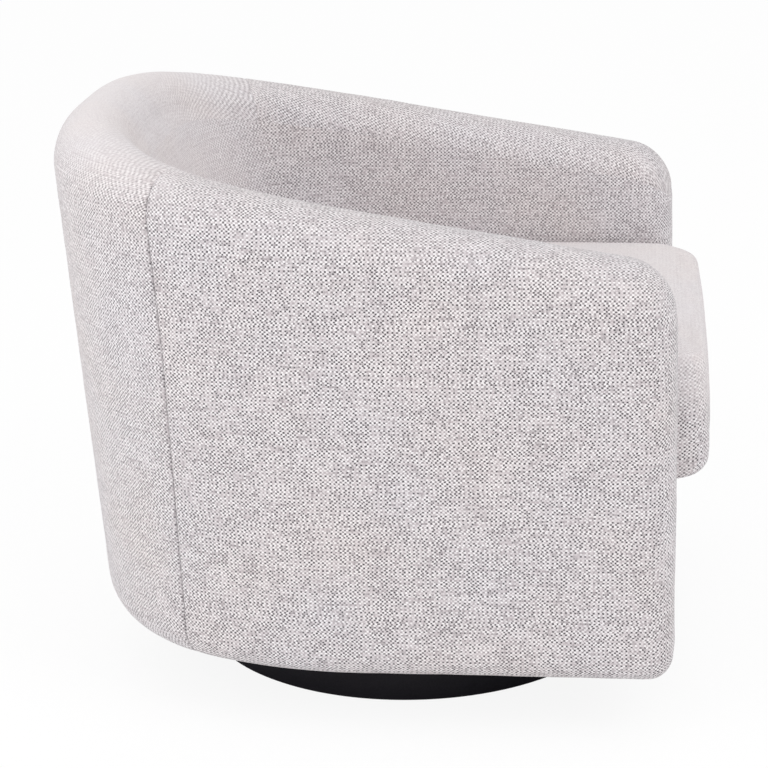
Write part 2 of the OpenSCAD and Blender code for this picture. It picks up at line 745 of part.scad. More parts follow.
// Heights up the boxing as shares, with the share of the swell there
boxing_shares = [[0.2, 1], [0.4, 0.8], [0.62, 0.5], [0.82, 0.2]];
function cushion_rings() =
    let (round_by = cushion_edge_round, low = cushion_bottom, high = cushion_edge_top)
    concat(
        [for (a = [0:30:60])
            cushion_ring(low + round_by * (1 - cos(a)), round_by * (1 - sin(a)),
                         cushion_swell * sin(a))],
        [for (b = boxing_shares) cushion_ring(low + (high - low) * b[0], 0, cushion_swell * b[1])],
        [for (a = [60:-30:0])
            cushion_ring(high - round_by * (1 - cos(a)), round_by * (1 - sin(a)), 0)],
        [for (share = crown_shares) crown_ring(share)]
    );
function upward(rings) = [for (ring = rings) reversed(ring)];
module cushion_block(inset) {
    skin_rings(upward([cushion_ring(cushion_bottom + inset, inset, 0),
                       cushion_ring(cushion_edge_top - inset, inset, 0)]));
}
module cushion_core() {
    color(foam_colour) cushion_block(core_inset + cushion_edge_round / 2);
}
module seat_cushion() {
    color(cloth_colour) difference() {
        skin_rings(upward(cushion_rings()));
        cushion_block(core_inset + cushion_edge_round / 2 - layer_gap);
    }
}

// Upholstered border in front of the front rail
module along_width(half) {
    translate([-half, 0, 0]) rotate([90, 0, 90]) linear_extrude(2 * half) children();
}
function rounded_front(face, rear, low, high, radius) = concat(
    [[-rear, low]],
    [[-rear, high]],
    [for (a = [0:30:90]) [-face + radius * (1 - sin(a)), high - radius * (1 - cos(a))]],
    [for (a = [90:-30:0]) [-face + radius * (1 - sin(a)), low + radius * (1 - cos(a))]]
);
module border_cover() {
    inner_high = deck_top - cover_thickness;
    color(cloth_colour) along_width(inner_half_width - layer_gap) difference() {
        polygon(rounded_front(border_face, border_flap_rear, foot_height, deck_top, border_round));
        polygon(rounded_front(border_face - cover_thickness, front_rail_face,
                              foot_height + cover_thickness, inner_high,
                              border_round - cover_thickness));
        translate([-front_rail_face - layer_gap, -overrun])
            square([overrun + seat_rail_thickness, seat_rail_top + layer_gap + overrun]);
    }
}
module border_pad() {
    color(foam_colour) along_width(inner_half_width - foam_skin)
        polygon(rounded_front(border_pad_face, front_rail_face + layer_gap,
                              bottom_rail_low, deck_top - foam_skin, border_round - foam_skin));
}

// Thin cover under the tub, with an opening for the machine
module dust_cover() {
    half = [for (t = concat(arm_stations(foot_round + layer_gap), back_stations()))
        let (p = wall_point(t, on_outside(t, heel_round(t) + layer_gap, foot_height)))
        if (t <= 90) [p[0], p[1]]];
    color(black_colour) translate([0, 0, foot_height - layer_gap - dust_thickness]) difference() {
        linear_extrude(dust_thickness) polygon(concat(half, mirrored(half)));
        translate([0, 0, -overrun])
            cylinder(r = dust_opening, h = dust_thickness + 2 * overrun, $fn = round_steps);
    }
}

// Plinth
module disc(radius, height) { cylinder(r = radius, h = height, $fn = round_steps); }
module hole(radius, low, high) {
    translate([0, 0, low - overrun]) disc(radius, high - low + 2 * overrun);
}
module nut_shape(height, corners) { cylinder(r = corners / 2, h = height, $fn = 6); }
disc_radius = plinth_radius - band_thickness - glue_gap;
module floor_felt() {
    color(felt_colour) disc(plinth_radius - felt_inset, felt_thickness);
}
module plinth_lower_disc() {
    color(board_colour) difference() {
        translate([0, 0, felt_top]) disc(disc_radius, disc_thickness);
        hole(king_pin_radius + glue_gap, felt_top, plinth_height);
        disc(king_nut_corners / 2 + glue_gap, felt_top + king_nut_height);
    }
}
module plate_screw_places() {
    for (i = [0:plate_screw_count - 1])
        rotate([0, 0, 360 * (i + 0.5) / plate_screw_count])
            translate([(bearing_window + ball_circle_radius) / 2, 0, 0]) children();
}
module plinth_upper_disc() {
    color(board_colour) difference() {
        translate([0, 0, felt_top + disc_thickness]) disc(disc_radius, disc_thickness);
        hole(king_pin_radius + glue_gap, felt_top, plinth_height);
        plate_screw_places()
            translate([0, 0, plinth_height - disc_thickness / 2])
                disc(bolt_radius + glue_gap, disc_thickness);
    }
}
module plinth_edge_band() {
    color(black_colour) rotate_extrude($fn = round_steps) {
        translate([plinth_radius - band_thickness, felt_top])
            square([band_thickness, plinth_height - felt_top - band_round]);
        translate([plinth_radius - band_thickness, felt_top])
            square([band_thickness - band_round, plinth_height - felt_top]);
        translate([plinth_radius - band_round, plinth_height - band_round])
            circle(r = band_round, $fn = round_steps);
    }
}

// Ball bearing under the tub
module ring_plate(inner, outer, low) {
    rotate_extrude($fn = round_steps) difference() {
        translate([inner, low]) square([outer - inner, bearing_plate_thickness]);
        translate([ball_circle_radius, ball_height])
            circle(r = ball_diameter / 2 + race_clearance, $fn = round_steps);
    }
}
screw_head = bolt_radius * screw_head_share;
module lower_bearing_plate() {
    color(steel_colour) difference() {
        ring_plate(bearing_window, bearing_radius, plinth_height);
        plate_screw_places() {
            hole(bolt_radius + glue_gap, plinth_height, lower_plate_top);
            translate([0, 0, lower_plate_top - bolt_head_height])
                disc(screw_head + glue_gap, overrun);
        }
    }
}
module plate_screws() {
    color(steel_colour) plate_screw_places() {
        translate([0, 0, lower_plate_top - bolt_head_height + glue_gap])
            disc(screw_head, bolt_head_height - 2 * glue_gap);
        translate([0, 0, plinth_height - disc_thickness / 2 + glue_gap])
            disc(bolt_radius, disc_thickness / 2 + bearing_plate_thickness - bolt_head_height);
    }
}
module ball_places() {
    for (i = [0:ball_count - 1])
        rotate([0, 0, 360 * i / ball_count])
            translate([ball_circle_radius, 0, ball_height]) children();
}
module bearing_balls() {
    color(steel_colour) ball_places() sphere(d = ball_diameter, $fn = round_steps);
}
module ball_cage() {
    color(steel_colour) difference() {
        translate([0, 0, ball_height - cage_thickness / 2]) difference() {
            disc(ball_circle_radius + cage_width / 2, cage_thickness);
            hole(ball_circle_radius - cage_width / 2, 0, cage_thickness);
        }
        ball_places() hole(ball_diameter / 2 + layer_gap, 0, 0);
    }
}

// King pin through the plinth and the turntable
bush_top = upper_plate_top + washer_thickness;
washer_low = bush_top + layer_gap;
nut_low = washer_low + washer_thickness;
bush_radius = king_pin_radius + running_clearance + bush_wall;
module king_pin() {
    color(steel_colour) {
        translate([0, 0, felt_top]) nut_shape(king_nut_height - glue_gap, king_nut_corners);
        translate([0, 0, felt_top])
            disc(king_pin_radius, nut_low + king_nut_height + bolt_head_height - felt_top);
    }
}
module king_pin_washer() {
    color(steel_colour) difference() {
        translate([0, 0, washer_low]) disc(king_nut_corners / 2, washer_thickness - glue_gap);
        hole(king_pin_radius + glue_gap, washer_low, nut_low);
    }
}
module king_pin_nut() {
    color(steel_colour) difference() {
        translate([0, 0, nut_low]) nut_shape(king_nut_height, king_nut_corners);
        hole(king_pin_radius + glue_gap, nut_low, nut_low + king_nut_height);
    }
}
module king_pin_bush() {
    color(bronze_colour) difference() {
        union() {
            translate([0, 0, upper_plate_bottom])
                disc(bush_radius, bearing_plate_thickness + washer_thickness);
            translate([0, 0, upper_plate_top + glue_gap])
                disc(bush_radius + bush_wall, washer_thickness - glue_gap);
        }
        hole(king_pin_radius + running_clearance, upper_plate_bottom, bush_top);
    }
}

// Turntable: plate, cradles, spring bars and their bolts
cradle_bolt_x = cradle_reach - cradle_flange / 2;
cradle_bolt_y = cradle_foot / 2 * cradle_bolt_share;
bar_bolt_x = 2 * king_pin_radius;
bar_bolt_y = spring_reach - 2 * bolt_radius;
module bolt_places() {
    for (x = [-1, 1], y = [-1, 1]) {
        translate([x * cradle_bolt_x, y * cradle_bolt_y, 0]) children();
        translate([x * bar_bolt_x, y * bar_bolt_y, 0]) children();
    }
}
module upper_bearing_plate() {
    color(steel_colour) difference() {
        ring_plate(bush_radius + glue_gap, bearing_radius, upper_plate_bottom);
        bolt_places() hole(bolt_radius + glue_gap, upper_plate_bottom, upper_plate_top);
    }
}
module turntable_bolts() {
    color(steel_colour) bolt_places() {
        translate([0, 0, press_top + glue_gap]) nut_shape(bolt_head_height, 2 * screw_head);
        translate([0, 0, upper_plate_bottom + glue_gap])
            disc(bolt_radius, press_top + bolt_head_height - upper_plate_bottom);
    }
}
// A pressed plate that stands along the chair, from its inner side outwards
module standing_plate(inner) {
    translate([inner, 0, 0]) rotate([90, 0, 90]) linear_extrude(press_thickness) children();
}
module pin_eye(bore) {
    difference() {
        children();
        translate([0, rock_height]) circle(r = bore, $fn = round_steps);
    }
}
module rocker_cradle() {
    color(black_colour) {
        standing_plate(cradle_reach - press_thickness) pin_eye(rocker_pin_radius + running_clearance) {
            union() {
                polygon([[-cradle_foot / 2, upper_plate_top + glue_gap],
                         [cradle_foot / 2, upper_plate_top + glue_gap],
                         [eye_radius, rock_height], [-eye_radius, rock_height]]);
                translate([0, rock_height]) circle(r = eye_radius, $fn = round_steps);
            }
        }
        difference() {
            translate([cradle_reach - cradle_flange, -cradle_foot / 2, upper_plate_top + glue_gap])
                cube([cradle_flange, cradle_foot, press_thickness]);
            bolt_places() hole(bolt_radius + glue_gap, upper_plate_top, press_top);
        }
    }
}
module rocker_cradle_left() { rocker_cradle(); }
module rocker_cradle_right() { mirror([1, 0, 0]) rocker_cradle(); }
module spring_bar(side) {
    color(black_colour) difference() {
        translate([-spring_bar_reach, side * spring_reach - spring_bar_width / 2,
                   upper_plate_top + glue_gap])
            cube([2 * spring_bar_reach, spring_bar_width, press_thickness]);
        bolt_places() hole(bolt_radius + glue_gap, upper_plate_top, press_top);
    }
}
module spring_bar_front() { spring_bar(-1); }
module spring_bar_rear() { spring_bar(1); }

// Rocker springs: one tube each, wound between a spring bar and a cross rail
coil_sides = 6;
coil_rings = 8;
coil_low = press_top + glue_gap + layer_gap + rocker_spring_wire / 2;
coil_high = cross_rail_bottom - layer_gap - rocker_spring_wire / 2;
coil_rise = (coil_high - coil_low) / rocker_spring_turns;
function coil_point(i) =
    let (turn = 360 * i / coil_rings)
    [rocker_spring_radius * cos(turn), rocker_spring_radius * sin(turn),
     coil_low + coil_rise * i / coil_rings];
coil_line = [for (i = [0:coil_rings * rocker_spring_turns]) coil_point(i)];
function coil_ring(i) =
    let (turn = 360 * i / coil_rings,
         out = [cos(turn), sin(turn), 0],
         along = unit([-rocker_spring_radius * sin(turn), rocker_spring_radius * cos(turn),
                       coil_rise / (2 * PI)]),
         side = cross(along, out))
    [for (k = [0:coil_sides - 1]) let (a = 360 * k / coil_sides)
        coil_point(i) + rocker_spring_wire / 2 * (out * cos(a) + side * sin(a))];
coil_gap = min([for (i = [0:len(coil_line) - 1], j = [0:len(coil_line) - 1])
    if (j - i > coil_rings / 2) norm(coil_line[i] - coil_line[j])]) - rocker_spring_wire;
echo(least_gap_in_a_rocker_spring = coil_gap);
module rocker_springs() {
    color(steel_colour) for (x = [-1, 1], y = [-1, 1])
        translate([x * rocker_spring_place, y * spring_reach, 0])
            skin_rings([for (i = [0:len(coil_line) - 1]) reversed(coil_ring(i))]);
}

// Rocking half of the machine
hanger_inner = cradle_reach + side_gap;
hanger_screw_x = hanger_inner + press_thickness + hanger_flange / 2;
hanger_screw_spread = cross_rail_width / 4;
module hanger_screw_places() {
    for (y = [-1, 1], step = [-1, 1])
        translate([hanger_screw_x, y * spring_reach + step * hanger_screw_spread, 0]) children();
}
hanger_high = cross_rail_bottom - glue_gap;
hanger_low = hanger_high - press_thickness;
module rocker_hanger() {
    color(black_colour) {
        standing_plate(hanger_inner) pin_eye(rocker_pin_radius + glue_gap) {
            union() {
                polygon([[-hanger_length / 2, hanger_high],
                         [-hanger_length / 2, hanger_low - press_thickness],
                         [-eye_radius, rock_height], [eye_radius, rock_height],
                         [hanger_length / 2, hanger_low - press_thickness],
                         [hanger_length / 2, hanger_high]]);
                translate([0, rock_height]) circle(r = eye_radius, $fn = round_steps);
            }
        }
        difference() {
            translate([hanger_inner, -hanger_length / 2, hanger_low])
                cube([press_thickness + hanger_flange, hanger_length, press_thickness]);
            hanger_screw_places() hole(bolt_radius + glue_gap, hanger_low, hanger_high);
        }
    }
}
module rocker_hanger_left() { rocker_hanger(); }
module rocker_hanger_right() { mirror([1, 0, 0]) rocker_hanger(); }
// A round bar along the rock axis from one distance to another off the middle plane
module cross_bar(radius, from, to) {
    translate([from, 0, rock_height]) rotate([0, 90, 0]) disc(radius, to - from);
}
clip_outer = cradle_reach - press_thickness - layer_gap;
clip_inner = clip_outer - pin_head_thickness;
module rocker_pins() {
    color(steel_colour) both_sides() {
        cross_bar(rocker_pin_radius, clip_inner - layer_gap, hanger_inner + press_thickness + glue_gap);
        cross_bar(pin_head_radius, hanger_inner + press_thickness + glue_gap,
                  hanger_inner + press_thickness + glue_gap + pin_head_thickness);
    }
}
module pin_clips() {
    color(steel_colour) both_sides() difference() {
        cross_bar(pin_head_radius, clip_inner, clip_outer);
        cross_bar(rocker_pin_radius + glue_gap, clip_inner - overrun, clip_outer + overrun);
    }
}
module hanger_screws() {
    color(steel_colour) both_sides() hanger_screw_places() {
        translate([0, 0, hanger_low - glue_gap - bolt_head_height]) disc(screw_head, bolt_head_height);
        translate([0, 0, hanger_low - glue_gap - bolt_head_height])
            disc(bolt_radius, bolt_head_height + press_thickness + cross_rail_thickness / 2);
    }
}
module cross_rail(side) {
    half = inner_half_width - layer_gap;
    color(wood_colour) difference() {
        translate([-half, side * spring_reach - cross_rail_width / 2, cross_rail_bottom])
            cube([2 * half, cross_rail_width, cross_rail_thickness]);
        both_sides() hanger_screw_places()
            translate([0, 0, cross_rail_bottom - overrun])
                disc(bolt_radius + glue_gap, overrun + cross_rail_thickness / 2 + glue_gap);
    }
}
module cross_rail_front() { cross_rail(-1); }
module cross_rail_rear() { cross_rail(1); }

floor_felt();
plinth_lower_disc();
plinth_upper_disc();
plinth_edge_band();
lower_bearing_plate();
plate_screws();
bearing_balls();
ball_cage();
king_pin();
king_pin_washer();
king_pin_nut();
upper_bearing_plate();
king_pin_bush();
rocker_cradle_left();
rocker_cradle_right();
turntable_bolts();
spring_bar_front();
spring_bar_rear();
rocker_springs();
rocker_hanger_left();
rocker_hanger_right();
rocker_pins();
pin_clips();
hanger_screws();
cross_rail_front();
cross_rail_rear();
seat_rail_front();
seat_rail_left();
seat_rail_right();
seat_rail_back();
spring_rail();
corner_blocks();
seat_springs();
spring_clips();
deck_pad();
deck_cloth();
cushion_core();
seat_cushion();
arm_cover_left();
arm_cover_right();
back_cover();
arm_foam_left();
arm_foam_right();
back_foam();
arm_bottom_rails();
arm_top_rails();
front_posts();
rear_posts();
back_bottom_rail();
back_top_rail();
back_posts();
back_slats();
arm_board_left();
arm_board_right();
back_board();
wall_cleats();
webbing_straps();
border_cover();
border_pad();
dust_cover();
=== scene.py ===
import bpy
import bmesh
import json
import numpy as np
from math import sin, cos, pi, radians, sqrt, hypot
from mathutils import Matrix, Vector, noise


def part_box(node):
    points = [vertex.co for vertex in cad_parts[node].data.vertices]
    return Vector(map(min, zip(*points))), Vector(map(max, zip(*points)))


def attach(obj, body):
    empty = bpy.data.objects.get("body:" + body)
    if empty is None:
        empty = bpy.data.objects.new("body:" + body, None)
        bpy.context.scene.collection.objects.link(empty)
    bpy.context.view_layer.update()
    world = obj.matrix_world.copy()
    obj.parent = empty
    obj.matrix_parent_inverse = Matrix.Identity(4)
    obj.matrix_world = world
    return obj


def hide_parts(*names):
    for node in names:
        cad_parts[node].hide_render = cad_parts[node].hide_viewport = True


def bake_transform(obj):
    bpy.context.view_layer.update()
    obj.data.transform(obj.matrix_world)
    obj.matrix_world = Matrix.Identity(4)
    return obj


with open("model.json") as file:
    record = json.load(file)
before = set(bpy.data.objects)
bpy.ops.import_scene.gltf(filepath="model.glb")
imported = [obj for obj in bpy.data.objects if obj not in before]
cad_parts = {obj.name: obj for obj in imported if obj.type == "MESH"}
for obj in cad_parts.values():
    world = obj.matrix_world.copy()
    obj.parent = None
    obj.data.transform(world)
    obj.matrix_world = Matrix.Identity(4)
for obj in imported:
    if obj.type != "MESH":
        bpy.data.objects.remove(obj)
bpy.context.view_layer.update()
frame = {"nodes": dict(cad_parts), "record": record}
print("frame loaded:", len(frame["nodes"]), "nodes")

# camera, solved from the outline in the photo
shot = {
    "eye": (-2.95528, -0.30260, 1.28208),
    "right": (0.10398, -0.99428, -0.02431),
    "up": (0.29754, 0.00778, 0.95468),
    "look": (0.94903, 0.10650, -0.29665),
    "focal": 2383.6,
    "centre": (385.28, 360.74),
}


def linkedObject(name, data):
    obj = bpy.data.objects.new(name, data)
    bpy.context.collection.objects.link(obj)
    return obj


def makeCamera():
    data = bpy.data.cameras.new("photoCamera")
    data.sensor_width = 36
    data.lens = 36 * shot["focal"] / 768
    data.shift_x = (384 - shot["centre"][0]) / 768
    data.shift_y = (shot["centre"][1] - 384) / 768
    data.clip_end = 60
    cam = linkedObject("photoCamera", data)
    look = Vector(shot["look"]).normalized()
    right = look.cross(Vector(shot["up"])).normalized()
    up = right.cross(look)
    turn = Matrix((right, up, -look)).transposed().to_4x4()
    cam.matrix_world = Matrix.Translation(Vector(shot["eye"])) @ turn
    bpy.context.scene.camera = cam


makeCamera()


# small helpers
def meshObject(name, verts, faces, body="tub", smooth=True):
    mesh = bpy.data.meshes.new(name)
    mesh.from_pydata([tuple(v) for v in verts], [], faces)
    mesh.update()
    obj = linkedObject(name, mesh)
    for poly in mesh.polygons:
        poly.use_smooth = smooth
    if body:   # a piece that bends between two bodies rides on neither
        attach(obj, body)
    return obj


def setCornerUV(obj, coords):
    # coords: one (u, v) per face corner, in metres of cloth
    layer = obj.data.uv_layers.new(name="cloth")
    flat = np.array(coords, dtype=np.float32).ravel()
    layer.data.foreach_set("uv", flat)


def addSolidify(obj, thickness):
    mod = obj.modifiers.new("thickness", "SOLIDIFY")
    mod.thickness = thickness
    mod.offset = -1


def addSubsurf(obj, levels):
    mod = obj.modifiers.new("smooth", "SUBSURF")
    mod.levels = levels
    mod.render_levels = levels


def turnOutward(obj):
    bm = bmesh.new()
    bm.from_mesh(obj.data)
    bmesh.ops.recalc_face_normals(bm, faces=bm.faces)
    bm.to_mesh(obj.data)
    bm.free()


def gridFace(width, i, k, n, first=0):
    # the four corners between rows i and i + 1, columns k and n
    low, high = first + i * width, first + (i + 1) * width
    return [low + k, low + n, high + n, high + k]


def spread(low, high, count):
    return [low + (high - low) * i / count for i in range(count + 1)]


# the wall of the tub, as in the CAD: t below 0 is metres forward along the arm,
# t from 0 to 180 is degrees round the back
wall = {
    "halfWidth": 0.373, "straight": 0.357, "bendStart": 0.013, "bendDepth": 0.419,
    "power": 2.74, "foot": 0.074, "thick": 0.110, "leanRun": 0.301,
    "armHeight": 0.572, "climb": 0.133, "climbFrom": 0.344, "climbOver": 0.776, "backLift": 0.011,
    "footDraw": 0.045, "outerSpan": 0.642, "backRake": 0.144, "innerRoll": 0.045, "innerSpan": 0.435,
    "seam": 34, "hem": 0.068, "tuck": 0.236, "openDepth": 0.047,
}
# its rounded edges: those of the front end, of the foot and of the rim, with what the back adds
roll = {
    "frontEdge": 0.040, "frontTop": 0.056, "frontFoot": 0.026, "crest": 0.055,
    "heel": 0.030, "backHeel": 0.024, "rise": 0.050, "backRise": 0.012,
    "innerRise": 0.045, "backInnerRise": 0.03,
}


def bendPoint(t):
    c, s, p = cos(radians(t)), sin(radians(t)), wall["power"]
    size = (abs(c) ** p + abs(s) ** p) ** (-1 / p)
    return size * c, size * s


def rimPoint(t):
    if t < 0:
        return wall["halfWidth"], wall["bendStart"] + t
    bx, by = bendPoint(t)
    return wall["halfWidth"] * bx, wall["bendStart"] + wall["bendDepth"] * by


def inward(t):
    if t < 0:
        return -1.0, 0.0
    bx, by = bendPoint(t)
    p = wall["power"] - 1
    nx = (1 if bx >= 0 else -1) * abs(bx) ** p / wall["halfWidth"]
    ny = abs(by) ** p / wall["bendDepth"]
    size = hypot(nx, ny)
    return -nx / size, -ny / size


def rimHeight(t):
    y = rimPoint(t)[1]
    lift = max(0, y - wall["bendStart"]) / wall["bendDepth"]
    slope = wall["climb"] * (y + wall["climbFrom"]) / wall["climbOver"]
    return wall["armHeight"] + slope + wall["backLift"] * lift ** 4


def backWeight(t):
    return 0 if t < 0 else sin(radians(t)) ** 2


def leaning(t):
    return max(0, 1 + t / wall["leanRun"]) if t < 0 else 1


def leanAt(t, z, inside):
    if inside:
        return wall["backRake"] * max(0, rimHeight(t) - wall["innerRoll"] - z) / wall["innerSpan"]
    return wall["footDraw"] * (rimHeight(t) - z) / wall["outerSpan"]


def heelRadius(t):
    return roll["heel"] + roll["backHeel"] * backWeight(t)


def wallPoint(t, depth, z, inside=False):
    lean = leanAt(t, z, inside)
    x, y = rimPoint(t)
    ix, iy = inward(t)
    return Vector((x + depth * ix, y + depth * iy - leaning(t) * lean, z))


def seamStation(z):
    # the seam leans to the rear as it goes down
    return wall["seam"] + 0.3 + 2.1 * min(max((0.475 - z) / 0.325, 0), 1.1)


def slant(t, z):
    # stations near the seam follow its lean, those far from it stay
    away = min(t, 180 - t)
    if away <= 0:
        return t
    seam = wall["seam"]
    share = away / seam if away < seam else (90 - away) / (90 - seam)
    shift = (seamStation(z) - seam) * share
    return t + shift if t < 90 else t - shift


def nip(d, r):
    return 0 if d >= r else r - sqrt(max(0, r * r - (r - d) ** 2))


def rollSizes(t):
    front = wall["straight"] + min(t, 0)
    side = nip(front, roll["frontEdge"])
    reach = roll["crest"] - side
    narrow = reach / roll["crest"]
    back = backWeight(t)
    return {
        "side": side,
        "low": wall["foot"] + nip(front, roll["frontFoot"]),
        "heel": heelRadius(t) * narrow,
        "reach": reach,
        "top": rimHeight(t) - nip(front, roll["frontTop"]),
        "rise": (roll["rise"] + roll["backRise"] * back) * narrow,
        "innerRise": (roll["innerRise"] + roll["backInnerRise"] * back) * narrow,
    }


def coverPath(t):
    # from the inner bottom corner under the foot, up the outside, over the roll, down the inside
    s = rollSizes(t)
    inner = wall["thick"] - s["side"]
    path = []
    for d in spread(inner, wall["hem"], 4)[:-1] + spread(wall["hem"], s["side"] + s["heel"], 3)[:-1]:
        path.append((d, s["low"], False))
    for a in spread(0, 90, 8):
        path.append((s["side"] + s["heel"] * (1 - sin(radians(a))),
                     s["low"] + s["heel"] * (1 - cos(radians(a))), False))
    for z in spread(s["low"] + s["heel"], s["top"] - s["rise"], 44)[1:-1]:
        path.append((s["side"], z, False))
    for a in spread(0, 90, 20):
        path.append((s["side"] + s["reach"] * (1 - cos(radians(a))),
                     s["top"] - s["rise"] * (1 - sin(radians(a))), False))
    for a in spread(90, 0, 20)[1:]:
        path.append((inner - s["reach"] * (1 - cos(radians(a))),
                     s["top"] - s["innerRise"] * (1 - sin(radians(a))), True))
    for z in spread(s["top"] - s["innerRise"], wall["tuck"], 28)[1:]:
        path.append((inner, z, True))
    for z in spread(wall["tuck"], s["low"], 8)[1:]:
        path.append((inner, z, True))
    return path


# columns of that path where one stretch of it ends and the next starts
hemColumn, heelEnd, rollStart, rollEnd = 4, 15, 58, 98
tuckColumn = len(coverPath(0)) - 9


def armStations():
    front = [-wall["straight"] + roll["frontTop"] * (1 - cos(radians(a))) for a in spread(0, 90, 14)]
    straight = spread(front[-1], 0, 44)[1:]
    return front + straight + seamSide(spread(0, wall["seam"], 60)[1:])


def seamSide(stations):
    # a few more stations close to the seam, for its crease
    close = [wall["seam"] - d for d in (0.45, 0.3, 0.18, 0.09)]
    return sorted(set([t for t in stations if t < wall["seam"] - 0.5] + close + [wall["seam"]]))


def backStations():
    low, high = wall["seam"], 180 - wall["seam"]
    close = [0.09, 0.18, 0.3, 0.45]
    middle = spread(low + 0.9, high - 0.9, 150)
    return [low] + [low + c for c in close] + middle + [high - c for c in close[::-1]] + [high]


def arcLengths(points):
    total, out = 0.0, [0.0]
    for a, b in zip(points, points[1:]):
        total += (b - a).length
        out.append(total)
    return out


def clothCoordinates(rows, stations, middle):
    # u runs along the rim from one upright thread, v up the outside, over the roll and down
    width = len(rows[0])
    near = min(range(len(stations)), key=lambda i: abs(stations[i] - middle))
    along = [arcLengths([row[j] for row in rows]) for j in range(width)]
    up = [arcLengths(row) for row in rows]
    outer, inner = [], []
    for i, row in enumerate(rows):
        for j in range(width):
            # lengths up the outside are counted from the straight part of the wall
            fixed = heelEnd if j < heelEnd else min(j, rollStart)
            outer.append((along[j][i] - along[j][near], row[fixed].z + up[i][j] - up[i][fixed]))
            inner.append((outer[-1][0], 1.3 - row[j].z))
    return outer, inner


def wallCover(name, stations, capped, middle, mirrored=False):
    rows = [[wallPoint(slant(t, p[1]), *p) for p in coverPath(t)] for t in stations]
    width = len(rows[0])
    verts = [p.copy() for row in rows for p in row]
    across = [j for row in rows for j in range(width)]
    uv, inner = clothCoordinates(rows, stations, middle)
    faces, corners = [], []
    for i in range(len(rows) - 1):
        open_ = not capped or stations[i] > -wall["straight"] + wall["openDepth"] - 0.001
        for j in range(width - 1):
            if open_ and (j < hemColumn or j >= tuckColumn):
                continue
            loop = gridFace(width, i, j, j + 1)
            faces.append(loop)
            corners += [(inner if j >= rollEnd else uv)[k] for k in loop]
        if not open_:   # the bottom of the inner side closes back to the start of the row
            loop = [i * width + width - 1, i * width, (i + 1) * width, (i + 1) * width + width - 1]
            faces.append(loop)
            corners += [uv[k] for k in loop]
    if capped:
        # front end of the arm: rings that shrink to the middle, with a little crown
        first = rows[0]
        centre = sum(first, Vector()) / width
        spine = [Vector((centre.x, p.y, p.z)) for p in first]
        low, high = min(p.z for p in first) + 0.014, max(p.z for p in first) - 0.014
        for s in spine:
            s.z = min(max(s.z, low), high)
        previous = list(range(width))
        for share in (0.2, 0.4, 0.6, 0.8, 1.0):
            current = []
            for k in range(width):
                p = first[k].lerp(spine[k], share)
                p.y -= 0.0016 * sin(share * pi / 2)
                verts.append(p)
                across.append(k)
                current.append(len(verts) - 1)
            for k in range(width):
                n = (k + 1) % width
                loop = [previous[n], previous[k], current[k], current[n]]
                faces.append(loop)
                corners += [(uv[heelEnd + 20][0] + verts[m].x - 0.333, verts[m].z) for m in loop]
            previous = current
    if mirrored:
        verts = [Vector((-p.x, p.y, p.z)) for p in verts]
        corners = [(-u, v) for u, v in corners]
    obj = meshObject(name, verts, faces, "tub")
    setCornerUV(obj, corners)
    storeValues(obj, "across", across)
    bm = bmesh.new()
    bm.from_mesh(obj.data)
    bmesh.ops.remove_doubles(bm, verts=bm.verts, dist=0.00005)
    loose = [v for v in bm.verts if not v.link_faces]
    bmesh.ops.delete(bm, geom=loose, context="VERTS")
    bmesh.ops.recalc_face_normals(bm, faces=bm.faces)
    bm.to_mesh(obj.data)
    bm.free()
    # the recalculation can't tell in from out on an open skin, so it is turned by one known face
    probe = max(obj.data.polygons, key=lambda f: f.center.z)
    if probe.normal.z < 0:
        obj.data.flip_normals()
    return obj


seamLook = {
    "outer": -0.0020, "inner": -0.0008, "width": 0.0022, "thread": 0.0013,
    "pucker": 0.0005, "puckerWidth": 0.016, "puckerPitch": 0.021,
}


def dressCover(obj):
    # seam crease, puckers beside it and the slight unevenness of cloth over foam
    look = seamLook
    mesh = obj.data
    moves = []
    for v in mesh.vertices:
        p = v.co
        swell = 0.0009 * noise.noise(p * 9) + 0.0004 * noise.noise(p * 31)
        near, deep = seamDistance(p)
        depth = look["outer"] if deep < 0.05 else look["inner"]
        crease = depth * np.exp(-(near / look["width"]) ** 2)
        pucker = look["pucker"] * np.exp(-(near / look["puckerWidth"]) ** 2)
        pucker = pucker * sin(p.z * 2 * pi / look["puckerPitch"])
        moves.append(v.normal * float(swell + crease + pucker))
    paintedHighlight, stitchAndCreaseShade = [], []
    across = mesh.attributes["across"].data
    for v, m in zip(mesh.vertices, moves):
        rear = min(max((v.co.y - 0.20) / 0.18, 0), 1)
        up = max(v.normal.z, 0)
        near, deep = seamDistance(v.co)
        inner = min(max((across[v.index].value - 78) / 24, 0), 1)
        # painted highlight: the cloth is painted paler, its flecks fading, where it faces up, towards the
        # rear and on the inside of the tub
        paintedHighlight.append(min(0.12 * up + 0.1 * inner + rear * (0.13 + 0.72 * up ** 1.5 + 0.5 * inner), 1))
        # stitches and painted shade: a dark line along the seam on the outer face, for its stitches and for
        # the shadow in its crease
        outside = 1 - min(max((deep - 0.012) / 0.02, 0), 1)
        stitchAndCreaseShade.append(float(np.exp(-(near / look["thread"]) ** 2)) * outside)
        v.co += m
    mesh.update()
    storeValues(obj, "paintedHighlight", paintedHighlight)
    storeValues(obj, "stitchAndCreaseShade", stitchAndCreaseShade)


def storeValues(obj, name, values):
    layer = obj.data.attributes.new(name, "FLOAT", "POINT")
    layer.data.foreach_set("value", np.array(values, dtype=np.float32))


def seamDistance(p):
    # how far along the wall from the seam, either side of the tub, and how deep in the wall
    station = seamStation(p.z)
    rim, turn = rimPoint(station), inward(station)
    x, y = abs(p.x) - rim[0], p.y - rim[1]
    lean = leanAt(station, p.z, False)
    depth = x * turn[0] + (y + lean) * turn[1]
    if depth > wall["thick"] / 2:
        lean = leanAt(station, p.z, True)
    return abs(-x * turn[1] + (y + lean) * turn[0]), depth


